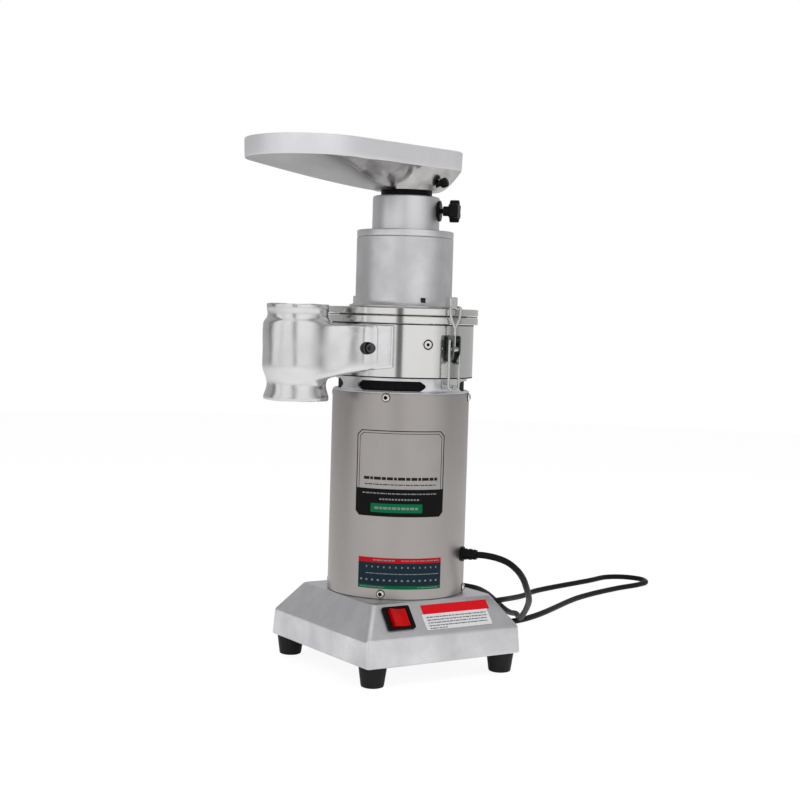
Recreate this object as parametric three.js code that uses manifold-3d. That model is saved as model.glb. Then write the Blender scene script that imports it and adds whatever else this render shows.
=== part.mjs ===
// Food grinder: an upright motor on a bevelled base drives a beater mill, fed from a tray on top.
// Millimetres, +Z up, the switch faces -Y and the outlet points along -X.
import * as THREE from 'three';
import { mergeVertices } from 'three/addons/utils/BufferGeometryUtils.js';
import Module from 'manifold-3d';

const wasm = await Module();
wasm.setup();

// Shared clearances and cutting overrun
const fit = 0.3;
const overrun = 6;

// Facet counts
const largeSides = 32;
const innerSides = 20;
const hiddenSides = 14;
const smallSides = 10;
const wireSides = 6;
const cordSides = 8;
const cordSteps = 68;
const tailSteps = 6;
const coilSides = 6;
const coilStepsPerTurn = 24;
const cornerSteps = 2;

// Rubber feet
const footHeight = 20.7;
const footTopRadius = 14.3;
const footBottomRadius = 11.8;
const footEdge = 1.5;
const footBore = 3.2;
const footRecess = 5.5;
const footRecessDepth = 8;
const footInsetX = 16;
const footInsetY = 16;

// Base casting: an upright skirt, then four bevels up to a square top
const baseWidth = 190;
const baseDepth = 201;
const skirtHeight = 28;
const skirtDraftX = 1;
const skirtDraftY = 3;
const bevelHeight = 31;
const baseTopWidth = 146.4;
const baseTopDepth = 144.6;
const baseCorner = 5;
const baseWall = 4;
const wiringHole = 20;
const footBossRadius = 9;
const basePlateThickness = 1.5;

// Rocker switch in the front bevel
const switchInset = 45.2;
const switchRiseShare = 0.55;
const bezelWidth = 32.3;
const bezelHeight = 26;
const bezelThickness = 2;
const bezelCorner = 2;
const switchBodyWidth = 28;
const switchBodyHeight = 22;
const switchBodyDepth = 19;
const rockerWidth = 20;
const rockerHeight = 20;
const rockerCrown = 3.4;
const rockerDip = 1.6;
const rockerPivotDepth = 3;
const rockerDepth = 7;
const rockerClearance = 1.5;
const rockerTilt = 9;

// Stainless sleeve round the motor
const sleeveRadius = 72.5;
const sleeveWall = 1.2;
const sleeveLength = 210.7;

// Motor brackets
const bracketRim = 5;
const lowerBracketHeight = 17.7;
const bracketPlate = 6;
const lowerPlateRise = 10;
const bracketHubRadius = 24;
const bracketHubRise = 4;
const bearingRadius = 17.5;
const bearingWidth = 11;
const bearingRace = 3.6;
const bearingLip = 3;
const bearingLipRadius = 12;
const upperSpigotDepth = 15;
const ventRingHeight = 15.4;
const ventRingInset = 3;
const ventRingRadius = sleeveRadius - ventRingInset;
const ventRingStep = 2.7;
const ventRingWall = 6;
const ventRingInner = ventRingRadius - ventRingWall;
const ventFromLatchAngle = 49.3;
const ventSpanAngle = 61;
const ventTipAngle = 4;
const ventTipShare = 0.2;
const ventHeight = 10.3;
const ventSill = 2.4;
const plateSlotCount = 4;
const plateSlotAngle = 54;
const plateSlotInner = 32;
const plateSlotOuter = 54;

// Motor
const shaftRadius = 7.2;
const shaftCoreRadius = 12;
const shaftTail = 3;
const statorLength = 85;
const statorBore = 40.3;
const airGap = 0.5;
const windingHeight = 24;
const windingInner = 45;
const windingOuter = 64;
const statorRise = 32;
const fanRadius = 54;
const fanBlades = 7;
const fanDisc = 2;
const fanHeight = 12;
const fanHubRadius = 14;
const fanBladeInner = 22;
const fanBladeThickness = 1.6;
const capacitorRadius = 17;
const capacitorLength = 66;
const capacitorY = 48;

// Grinding drum
const drumRadius = 75;
const drumWall = 7;
const drumInner = drumRadius - drumWall;
const drumHeight = 63.2;
const drumFloor = 6;
const flangeLip = 4.3;
const flangeRadius = drumRadius + flangeLip;
const flangeThickness = 7.3;
const sealRadius = 14;
const windowHalfAngle = 22;
const windowSill = 11;
const windowHeight = 38;
const drumBoltAngles = { back: 77.3, front: 257.3, right: 347.3 };
const drumBoltRise = 35;
const drumBoltHead = 5.7;
const drumBoltHeadDepth = 3;
const drumBoltShank = 3;
const drumBoltLength = 10.5;
const socketRadius = 1.7;
const socketDepth = 2;

// Toothed liner and perforated screen inside the drum
const linerThickness = 5.2;
const linerToothDepth = 2.6;
const linerTeeth = 24;
const linerHalfAngle = 148;
const linerHeight = 43;
const screenThickness = 1.4;
const screenEndGap = 0.5;
const screenRows = 3;
const screenColumns = 5;
const screenHoleRadius = 3.2;
const screenHoleSides = 6;

// Beater rotor
const beaterCount = 4;
const beaterDiscInset = 18;
const beaterDiscRadius = drumInner - beaterDiscInset;
const beaterDiscThickness = 6;
const beaterInset = 32;
const beaterInner = drumInner - beaterInset;
const beaterRunGap = 2;
const beaterWidth = 12;
const beaterHeight = 24;
const beaterHubRadius = 16;
const beaterHubHeight = 21;
const nutAcross = 19;
const nutHeight = 8.5;
const shaftThreadEnd = 2;
const hexSides = 6;

// Outlet casting: saddle on the drum, short duct, upright pipe open at both ends
const outletStandoff = 52.5;
const outletReach = drumRadius + outletStandoff;
const outletBore = 27;
const outletRimRadius = 31.8;
const outletGrooveRadius = 30;
const outletBodyRadius = 35.2;
const outletNeckRadius = 30.1;
const outletFlareRadius = 33.4;
const outletBottomDrop = 25;
const outletFlareHeight = 7;
const outletNeckRise = 12;
const outletNeckHeight = 8;
const outletShoulderRise = 31.5;
const outletBodyTop = 54;
const outletShoulderHeight = 2.4;
const outletShoulderInset = 1.8;
const outletGrooveRise = 61;
const outletRimRise = 65;
const outletTopRise = 72.7;
const saddleThickness = 5.7;
const saddleHalfAngle = 50.5;
const saddleBottomRise = 10.5;
const saddleTopRise = 54.5;
const ductHalfWidth = 33;
const ductWaistStandoff = 23;
const ductWaistReach = drumRadius + ductWaistStandoff;
const ductRootShare = 2 / 3;
const ductRootHalfWidth = drumRadius * ductRootShare;
const ductBottomRise = -3.5;
const ductBoreHalfWidth = 22;
const outletBoltHalfAngle = 33.5;
const outletBoltRise = 30;
const outletBoltHead = 5;
const outletBoltHeadHeight = 4;
const outletBoltRecess = 5.8;
const outletBoltShank = 3;
const outletSocketRadius = 2.6;

// Lid with the tower on it and a post for each latch
const gasketThickness = 1.1;
const gasketInset = 0.7;
const gasketWidth = 9;
const lidFlange = 7.1;
const lidSpigot = 5.6;
const throatRadius = 24.5;
const towerRadius = 51;
const towerInner = 46;
const towerHeight = 73.5;
const towerFlare = 5;
const towerFlareHeight = 8;
const towerFloor = 12;
const towerFootEdge = 2;
const postInset = 7.5;
const postInner = flangeRadius - postInset;
const postOverhang = 1.2;
const postOuter = flangeRadius + postOverhang;
const postHalfWidth = 5.2;
const postHeight = 12;
const postChamfer = 1.5;

// Neck: cap on the tower with an upright socket for the feed tube
const capThickness = 7;
const capSpigot = 6;
const neckRadius = 35.4;
const neckHeight = 36.2;
const neckRound = 2.6;
const neckLip = 2;

// Feed tube
const feedTubeRadius = 27;
const feedTubeRise = 15;

// Star knob in the neck and thumb screw in the tray's boss
const neckKnobAngle = 315;
const neckKnobRise = 21.7;
const washerRadius = 11;
const washerThickness = 1.4;
const studRadius = 2.4;
const studShow = 2.8;
const knobHubRadius = 5.2;
const knobHubLength = 7;
const starRadius = 11.7;
const starValley = 9;
const starLobes = 6;
const starThickness = 10;
const starBevel = 1;
const trayKnobAngle = 300;
const trayKnobTilt = 20;
const trayKnobRise = 5;
const trayStudRadius = 1.9;
const trayKnobStandoff = 6;
const trayKnobRadius = 5;
const trayKnobEndRadius = 3.5;
const trayKnobEdge = 1.6;
const trayKnobLength = 8;

// Feed tray: a teardrop pan whose boss sits on the feed tube
const trayGap = 5.7;
const trayBossRadius = 34;
const trayFarCentre = 115.4;
const trayFarRadius = 68.8;
const trayNoseCentre = 28.5;
const trayNoseRadius = 34.6;
const trayBellyHeight = 23.5;
const trayWallHeight = 20;
const trayWall = 4;
const trayDraft = 1.2;
const trayLipRound = 1.4;
const traySocketDepth = 9.3;
const trayThroatRise = 12.5;
const trayFloorRise = 27.5;
const traySides = 44;
const trayBellyRings = 5;
const trayFloorRings = 2;
const trayBunching = 1.45;
const trayChuteHalfAngle = 31;
const trayChuteBlendAngle = 10;
const trayNoseFromAngle = 95;
const trayNoseToAngle = 150;
const chutePowerShare = 1.3;
const sidePowerShare = 0.5;
const nosePowerShare = 1.6;

// Toggle latches at front and back
const latchAngles = { front: 277, back: 97 };
const latchWire = 1.1;
const wireBend = 2;
const latchPinStandoff = 3.7;
const latchPinReach = flangeRadius + latchPinStandoff;
const latchPinRise = 40;
const latchRodDrop = 9;
const latchRodRadius = 1.5;
const leverHalfWidth = 5;
const leverSheet = 1.2;
const leverTop = 5;
const leverFoot = 22;
const leverBack = 4.5;
const leverFront = 4;
const leverLip = 3.5;
const linkHalfWidth = 6.8;
const linkEndHalfGap = 3.4;
const hookHalfWidth = 4.5;
const hookSheet = 1.5;
const hookTabHeight = 2;
const hookTabRise = 8.2;
const hookPastPin = 3;
const hookReach = latchPinReach + hookPastPin;
const hookLip = 3.5;
const hookPlateRise = 3.5;
const bailHalfWidth = 6.8;
const bailBarInset = 10.1;
const bailBarReach = flangeRadius - bailBarInset;
const bailBarGap = 0.6;
const bailEyeRadius = 3;
const bailEyeWidth = 7;
const bailStem = 20;
const bailSpread = 14;

// Cable gland, cord and plug
const glandAngle = 310;
const glandRise = 42;
const glandRadius = 6;
const glandTipRadius = 5.2;
const glandFlangeRadius = 7.8;
const glandFlangeThickness = 1.6;
const glandLength = 16;
const glandInside = 6;
const glandRibs = 2;
const glandRibDepth = 0.7;
const glandRibShare = 0.6;
const cordRadius = 3.5;
const plugTailRadius = 5.4;
const plugGripRadius = 13;
const plugFaceRadius = 18.4;
const plugTailLength = 10;
const plugGripLength = 26;
const plugLength = 44;
const plugPinRadius = 2.4;
const plugPinLength = 19;
const plugPinSpacing = 19;

// Heights of the stack, worked out from the sizes above
const baseBottom = footHeight + fit;
const skirtTop = baseBottom + skirtHeight;
const baseTop = skirtTop + bevelHeight;
const sleeveBottom = baseTop + fit;
const sleeveTop = sleeveBottom + sleeveLength;
const ventBottom = sleeveTop + fit;
const ventTop = ventBottom + ventRingHeight;
const drumBottom = ventTop + fit;
const drumTop = drumBottom + drumHeight;
const gasketBottom = drumTop + fit;
const lidBottom = gasketBottom + gasketThickness + fit;
const lidTop = lidBottom + lidFlange;
const towerTop = lidTop + towerHeight;
const capBottom = towerTop + fit;
const capTop = capBottom + capThickness;
const neckTop = capTop + neckHeight;
const trayBottom = neckTop + trayGap;
const trayCrease = trayBottom + trayBellyHeight;
const trayTop = trayCrease + trayWallHeight;
const sleeveInner = sleeveRadius - sleeveWall;
const bracketRadius = sleeveInner - fit;
const motorCentreX = (trayFarCentre + trayFarRadius - baseWidth / 2) / 2;

const group = new THREE.Group();
group.position.x = motorCentreX;

const degrees = THREE.MathUtils.degToRad;

// Finishes

function finish(colour, roughness, metalness) {
  return new THREE.MeshStandardMaterial({ color: colour, roughness, metalness, flatShading: true });
}

const castAluminium = () => finish(0xb9babe, 0.42, 0.9);
const turnedAluminium = () => finish(0xc4c5c8, 0.3, 0.95);
const stainless = () => finish(0xb4afab, 0.25, 1);
const blackRubber = () => finish(0x161616, 0.85, 0);
const blackPlastic = () => finish(0x111112, 0.45, 0);
const redPlastic = () => finish(0xc4151b, 0.35, 0);
const darkSteel = () => finish(0x3a3a3b, 0.45, 0.9);
const zincSteel = () => finish(0x8f9a92, 0.4, 0.85);
const brightSteel = () => finish(0xc8c8c8, 0.25, 1);
const motorIron = () => finish(0x55585c, 0.6, 0.8);
const copper = () => finish(0xb06a3a, 0.45, 0.9);

// Closed solids from three.js geometry

function weld(geometry) {
  const bare = geometry.clone();
  bare.deleteAttribute('normal');
  bare.deleteAttribute('uv');
  const merged = mergeVertices(bare);
  const source = merged.index.array;
  const places = merged.attributes.position;
  const kept = [];
  const corners = [new THREE.Vector3(), new THREE.Vector3(), new THREE.Vector3()];
  let volume = 0;
  for (let i = 0; i < source.length; i += 3) {
    const [a, b, c] = [source[i], source[i + 1], source[i + 2]];
    if (a === b || b === c || c === a) continue;
    kept.push(a, b, c);
    [a, b, c].forEach((v, k) => corners[k].fromBufferAttribute(places, v));
    volume += corners[0].dot(corners[1].clone().cross(corners[2]));
  }
  if (volume < 0) kept.reverse();
  merged.setIndex(kept);
  return merged;
}

function toSolid(geometry) {
  const welded = weld(geometry);
  return new wasm.Manifold(new wasm.Mesh({
    numProp: 3,
    vertProperties: new Float32Array(welded.attributes.position.array),
    triVerts: new Uint32Array(welded.index.array),
  }));
}

function toGeometry(solid) {
  const mesh = solid.getMesh();
  const geometry = new THREE.BufferGeometry();
  geometry.setAttribute('position', new THREE.BufferAttribute(new Float32Array(mesh.vertProperties), 3));
  geometry.setIndex(Array.from(mesh.triVerts));
  return geometry;
}

function cut(geometry, ...tools) {
  return toGeometry(tools.reduce((left, tool) => left.subtract(toSolid(tool)), toSolid(geometry)));
}

function join(geometry, ...others) {
  return toGeometry(others.reduce((whole, other) => whole.add(toSolid(other)), toSolid(geometry)));
}

function overlapOf(geometry, other) {
  return toGeometry(toSolid(geometry).intersect(toSolid(other)));
}

function revolve(profile, sides) {
  const points = profile.map(([radius, height]) => new THREE.Vector2(radius, height));
  return new THREE.LatheGeometry(points, sides).rotateX(Math.PI / 2);
}

// A closed profile of a ring ends where it starts; one on the axis is left as it is
function ringOf(profile, sides) {
  return revolve([...profile, profile[0]], sides);
}

function disc(radius, bottom, top, sides) {
  return revolve([[0, bottom], [radius, bottom], [radius, top], [0, top]], sides);
}

function slab(width, depth, height) {
  return new THREE.BoxGeometry(width, depth, height);
}

// Joins rings of equal counts into one skin: looped back to its start, or closed by flat ends
function loft(rings, looped) {
  const count = rings[0].length;
  const places = rings.flat().flatMap((point) => [point.x, point.y, point.z]);
  const faces = [];
  const spans = looped ? rings.length : rings.length - 1;
  for (let i = 0; i < spans; i += 1) {
    const here = i * count;
    const next = ((i + 1) % rings.length) * count;
    for (let k = 0; k < count; k += 1) {
      const after = (k + 1) % count;
      faces.push(here + k, here + after, next + after, here + k, next + after, next + k);
    }
  }
  if (!looped) {
    const last = (rings.length - 1) * count;
    for (let k = 1; k < count - 1; k += 1) {
      faces.push(0, k + 1, k, last, last + k, last + k + 1);
    }
  }
  const geometry = new THREE.BufferGeometry();
  geometry.setAttribute('position', new THREE.Float32BufferAttribute(places, 3));
  geometry.setIndex(faces);
  return geometry;
}

function roundedRing(halfX, halfY, radius, height) {
  const ring = [];
  for (let corner = 0; corner < 4; corner += 1) {
    const middle = (corner + 1 / 2) * Math.PI / 2;
    const [signX, signY] = [Math.sign(Math.cos(middle)), Math.sign(Math.sin(middle))];
    for (let step = 0; step <= cornerSteps; step += 1) {
      const angle = (corner + step / cornerSteps) * Math.PI / 2;
      ring.push(new THREE.Vector3(
        signX * (halfX - radius) + radius * Math.cos(angle),
        signY * (halfY - radius) + radius * Math.sin(angle),
        height,
      ));
    }
  }
  return ring;
}

// A circle with a point in the same direction as each point of another ring
function circleFacing(ring, radius, height) {
  return ring.map((point) => {
    const reach = Math.hypot(point.x, point.y);
    return new THREE.Vector3(point.x / reach * radius, point.y / reach * radius, height);
  });
}

function polar(radius, angle, height) {
  return new THREE.Vector3(radius * Math.cos(degrees(angle)), radius * Math.sin(degrees(angle)), height);
}

// A block bent round the axis, from one angle to another; shares give its height at each end
function bentBlock({ inner, outer, bottom, top, from, to, tip = 0, tipShare = 1, steps = 8 }) {
  const stations = tip ? [0, tip / (to - from)] : [0];
  const inside = stations[stations.length - 1];
  for (let i = 1; i < steps; i += 1) {
    stations.push(inside + (1 - inside * 2) * i / steps);
  }
  stations.push(...stations.filter((share) => share <= inside).map((share) => 1 - share).reverse());
  const middle = (bottom + top) / 2;
  const rings = stations.map((share) => {
    const angle = from + (to - from) * share;
    const atTip = tip && (share === 0 || share === 1);
    const low = atTip ? middle - (middle - bottom) * tipShare : bottom;
    const high = atTip ? middle + (top - middle) * tipShare : top;
    return [
      polar(inner, angle, low), polar(outer, angle, low),
      polar(outer, angle, high), polar(inner, angle, high),
    ];
  });
  return loft(rings, false);
}

// Turns a solid made along +Z to point outward at an angle, with its foot at a reach and height
function outward(geometry, angle, reach, height, tilt = 0) {
  return geometry
    .rotateY(Math.PI / 2 - degrees(tilt))
    .translate(reach, 0, 0)
    .rotateZ(degrees(angle))
    .translate(0, 0, height);
}

function roundSection(radius, sides) {
  const section = new THREE.Shape();
  for (let i = 0; i < sides; i += 1) {
    const angle = i / sides * Math.PI * 2;
    const [x, y] = [radius * Math.cos(angle), radius * Math.sin(angle)];
    if (i === 0) section.moveTo(x, y);
    else section.lineTo(x, y);
  }
  return section;
}

// Flexible cord: a smooth curve through the points
function cordTube(points, radius, steps, sides) {
  const path = new THREE.CatmullRomCurve3(points, false, 'centripetal');
  return new THREE.ExtrudeGeometry(roundSection(radius, sides), { steps, extrudePath: path });
}

// Bent wire: straight from point to point, with one section at each
class BentPath extends THREE.Curve {
  constructor(points) {
    super();
    this.points = points;
  }

  getPoint(share, target = new THREE.Vector3()) {
    const place = share * (this.points.length - 1);
    const i = Math.min(Math.floor(place), this.points.length - 2);
    return target.copy(this.points[i]).lerp(this.points[i + 1], place - i);
  }

  getPointAt(share, target) {
    return this.getPoint(share, target);
  }

  getTangentAt(share, target = new THREE.Vector3()) {
    const last = this.points.length - 1;
    const i = Math.round(share * last);
    const before = Math.max(i - 1, 0);
    const after = Math.min(i + 1, last);
    const into = this.points[before + 1].clone().sub(this.points[before]).normalize();
    const onward = this.points[after].clone().sub(this.points[after - 1]).normalize();
    return target.copy(into).add(onward).normalize();
  }
}

function wire(points) {
  return new THREE.ExtrudeGeometry(roundSection(latchWire, wireSides), {
    steps: points.length - 1, extrudePath: new BentPath(points),
  });
}

function add(name, geometry, material, parent = group) {
  const mesh = new THREE.Mesh(weld(geometry), material);
  mesh.name = name;
  parent.add(mesh);
  return mesh;
}

// Base: the casting with its foot bosses, the plate below and four rubber feet

const footPlaces = [
  { name: 'front_left', x: -1, y: -1 },
  { name: 'front_right', x: 1, y: -1 },
  { name: 'back_left', x: -1, y: 1 },
  { name: 'back_right', x: 1, y: 1 },
].map(({ name, x, y }) => ({
  name,
  x: x * (baseWidth / 2 - footInsetX),
  y: y * (baseDepth / 2 - footInsetY),
}));

const bevelRun = baseDepth / 2 - skirtDraftY - baseTopDepth / 2;
const bevelAngle = Math.atan2(bevelHeight, bevelRun);

// Places a solid made on the XY plane onto the front bevel, at the switch
function onBevel(geometry) {
  return geometry
    .rotateX(bevelAngle)
    .translate(
      -(baseWidth / 2 - switchInset),
      -(baseDepth / 2 - skirtDraftY) + bevelRun * switchRiseShare,
      skirtTop + bevelHeight * switchRiseShare,
    );
}

function baseRings(inset, bottom, top) {
  const radius = Math.max(baseCorner - inset / 2, fit);
  return [
    roundedRing(baseWidth / 2 - inset, baseDepth / 2 - inset, radius, bottom),
    roundedRing(
      baseWidth / 2 - skirtDraftX - inset, baseDepth / 2 - skirtDraftY - inset, radius, skirtTop - inset / 2,
    ),
    roundedRing(baseTopWidth / 2 - inset / 2, baseTopDepth / 2 - inset / 2, radius, top),
  ];
}

function makeBase() {
  const outer = baseRings(0, baseBottom, baseTop);
  const inner = baseRings(baseWall, baseBottom, baseTop - baseWall);
  const shell = loft([
    ...outer,
    circleFacing(outer[2], wiringHole, baseTop),
    circleFacing(outer[2], wiringHole, baseTop - baseWall),
    ...inner.reverse(),
  ], true);
  const whole = loft(baseRings(0, baseBottom, baseTop), false);
  const bosses = footPlaces.map(({ x, y }) => overlapOf(
    whole,
    disc(footBossRadius, baseBottom + basePlateThickness + fit, baseTop, smallSides).translate(x, y, 0),
  ));
  const panelHole = onBevel(slab(switchBodyWidth + fit * 2, switchBodyHeight + fit * 2, baseWall * 4));
  add('base_casting', cut(join(shell, ...bosses), panelHole), castAluminium());

  const plateHalfX = baseWidth / 2 - baseWall - fit * 2;
  const plateHalfY = baseDepth / 2 - baseWall - fit * 2;
  const plate = loft([
    roundedRing(plateHalfX, plateHalfY, baseCorner / 2, baseBottom),
    roundedRing(plateHalfX, plateHalfY, baseCorner / 2, baseBottom + basePlateThickness),
  ], false);
  const plateHoles = footPlaces.map(({ x, y }) => disc(
    footBore, baseBottom - overrun, baseBottom + overrun, smallSides,
  ).translate(x, y, 0));
  add('base_plate', cut(plate, ...plateHoles), stainless());

  footPlaces.forEach(({ name, x, y }) => {
    const foot = ringOf([
      [footRecess, 0],
      [footBottomRadius - footEdge, 0],
      [footBottomRadius, footEdge],
      [footTopRadius, footHeight],
      [footBore, footHeight],
      [footBore, footRecessDepth],
      [footRecess, footRecessDepth],
    ], hiddenSides);
    add(`foot_${name}`, foot.translate(x, y, 0), blackRubber());
  });
}

// Switch: a moulded housing snapped into the bevel and a rocker tipped to one side

function makeSwitch() {
  const bezel = loft([
    roundedRing(bezelWidth / 2, bezelHeight / 2, bezelCorner, fit),
    roundedRing(bezelWidth / 2, bezelHeight / 2, bezelCorner, bezelThickness),
    roundedRing(
      bezelWidth / 2 - bezelCorner / 2, bezelHeight / 2 - bezelCorner / 2, bezelCorner / 2,
      bezelThickness + bezelCorner / 4,
    ),
  ], false);
  const body = slab(switchBodyWidth, switchBodyHeight, switchBodyDepth)
    .translate(0, 0, bezelThickness - switchBodyDepth / 2);
  const pocket = slab(rockerWidth + rockerClearance * 2, rockerHeight + fit * 2, rockerDepth * 2 + overrun)
    .translate(0, 0, overrun / 2);
  add('switch_housing', onBevel(cut(join(bezel, body), pocket)), blackPlastic());

  const face = bezelThickness + rockerCrown;
  const side = new THREE.Shape();
  side.moveTo(-rockerWidth / 2, -rockerPivotDepth / 2);
  side.lineTo(-rockerWidth / 2, face);
  side.quadraticCurveTo(0, face - rockerDip * 2, rockerWidth / 2, face);
  side.lineTo(rockerWidth / 2, -rockerPivotDepth / 2);
  side.lineTo(rockerPivotDepth, -rockerPivotDepth * 2);
  side.lineTo(-rockerPivotDepth, -rockerPivotDepth * 2);
  side.closePath();
  const rocker = new THREE.ExtrudeGeometry(side, {
    depth: rockerHeight, steps: 1, bevelEnabled: false, curveSegments: 6,
  })
    .rotateX(Math.PI / 2)
    .translate(0, rockerHeight / 2, rockerPivotDepth)
    .rotateY(degrees(rockerTilt))
    .translate(0, 0, -rockerPivotDepth);
  add('switch_rocker', onBevel(rocker), redPlastic());
}

// Sleeve, with the hole that the cable gland goes through

function makeSleeve() {
  const tube = ringOf([
    [sleeveInner, sleeveBottom], [sleeveRadius, sleeveBottom],
    [sleeveRadius, sleeveTop], [sleeveInner, sleeveTop],
  ], largeSides);
  const glandHole = outward(
    disc(glandRadius + fit, -overrun, overrun, smallSides), glandAngle, sleeveRadius, baseTop + glandRise,
  );
  add('sleeve', cut(tube, glandHole), stainless());
}

// Brackets: the lower one stands on the base, the upper one carries the vents and the drum

const lowerSeat = sleeveBottom + bracketRim + fit;
const upperPlateBottom = ventBottom - upperSpigotDepth;
const upperSeatTop = upperPlateBottom + bearingWidth - bracketRim + fit;
const upperSeat = upperSeatTop - bearingWidth - fit;

function makeBrackets() {
  const plateBottom = sleeveBottom + lowerPlateRise;
  const lower = ringOf([
    [bearingLipRadius, lowerSeat - bearingLip],
    [bracketHubRadius, lowerSeat - bearingLip],
    [bracketHubRadius, plateBottom],
    [bracketRadius - bracketRim, plateBottom],
    [bracketRadius - bracketRim, sleeveBottom],
    [bracketRadius, sleeveBottom],
    [bracketRadius, sleeveBottom + lowerBracketHeight],
    [bracketRadius - bracketRim, sleeveBottom + lowerBracketHeight],
    [bracketRadius - bracketRim, plateBottom + bracketPlate],
    [bracketHubRadius, plateBottom + bracketPlate],
    [bracketHubRadius, lowerSeat + bearingWidth],
    [bearingRadius + fit, lowerSeat + bearingWidth],
    [bearingRadius + fit, lowerSeat - fit],
    [bearingLipRadius, lowerSeat - fit],
  ], largeSides);
  add('lower_bracket', lower, castAluminium());

  const hubBottom = upperSeat - bracketHubRise;
  const upper = ringOf([
    [bearingRadius + fit, hubBottom],
    [bracketHubRadius, hubBottom],
    [bracketHubRadius, upperPlateBottom],
    [bracketRadius, upperPlateBottom],
    [bracketRadius, ventBottom],
    [sleeveRadius, ventBottom],
    [ventRingRadius, ventBottom + ventRingStep],
    [ventRingRadius, ventTop],
    [ventRingInner, ventTop],
    [ventRingInner, upperPlateBottom + bracketPlate],
    [bracketHubRadius, upperPlateBottom + bracketPlate],
    [bracketHubRadius, upperSeatTop + bearingLip],
    [bearingLipRadius, upperSeatTop + bearingLip],
    [bearingLipRadius, upperSeatTop],
    [bearingRadius + fit, upperSeatTop],
  ], largeSides);
  const ventMiddles = Object.values(latchAngles)
    .flatMap((angle) => [angle - ventFromLatchAngle, angle + ventFromLatchAngle]);
  const slots = ventMiddles.map((middle) => bentBlock({
    inner: ventRingInner - overrun,
    outer: sleeveRadius + overrun,
    bottom: ventBottom + ventSill,
    top: ventBottom + ventSill + ventHeight,
    from: middle - ventSpanAngle / 2,
    to: middle + ventSpanAngle / 2,
    tip: ventTipAngle,
    tipShare: ventTipShare,
    steps: 5,
  }));
  for (let i = 0; i < plateSlotCount; i += 1) {
    const middle = i * 360 / plateSlotCount;
    slots.push(bentBlock({
      inner: plateSlotInner, outer: plateSlotOuter,
      bottom: upperPlateBottom - overrun, top: upperPlateBottom + bracketPlate + overrun,
      from: middle - plateSlotAngle / 2, to: middle + plateSlotAngle / 2, steps: 2,
    }));
  }
  add('upper_bracket', cut(upper, ...slots), castAluminium());
}

// Motor: stator and windings in the sleeve, rotor on a shaft between two bearings

const statorBottom = sleeveBottom + lowerBracketHeight + statorRise;
const statorTop = statorBottom + statorLength;
const beaterBottom = drumBottom + drumFloor + beaterRunGap;
const beaterHubTop = beaterBottom + beaterHubHeight;
const nutBottom = beaterHubTop + fit;

function makeBearing(name, bottom, spinning) {
  const top = bottom + bearingWidth;
  const outerInside = bearingRadius - bearingRace;
  const innerOutside = shaftRadius + fit + bearingRace;
  const shield = bearingRace / 3;
  const race = ringOf([
    [outerInside, bottom + shield], [innerOutside + fit * 2, bottom + shield],
    [innerOutside + fit * 2, bottom],
    [bearingRadius, bottom], [bearingRadius, top], [innerOutside + fit * 2, top],
    [innerOutside + fit * 2, top - shield], [outerInside, top - shield],
  ], hiddenSides);
  add(`${name}_outer_race`, race, brightSteel());
  const innerRace = ringOf([
    [shaftRadius + fit, bottom], [innerOutside, bottom], [innerOutside, top], [shaftRadius + fit, top],
  ], hiddenSides);
  add(`${name}_inner_race`, innerRace, brightSteel(), spinning);
}

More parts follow.
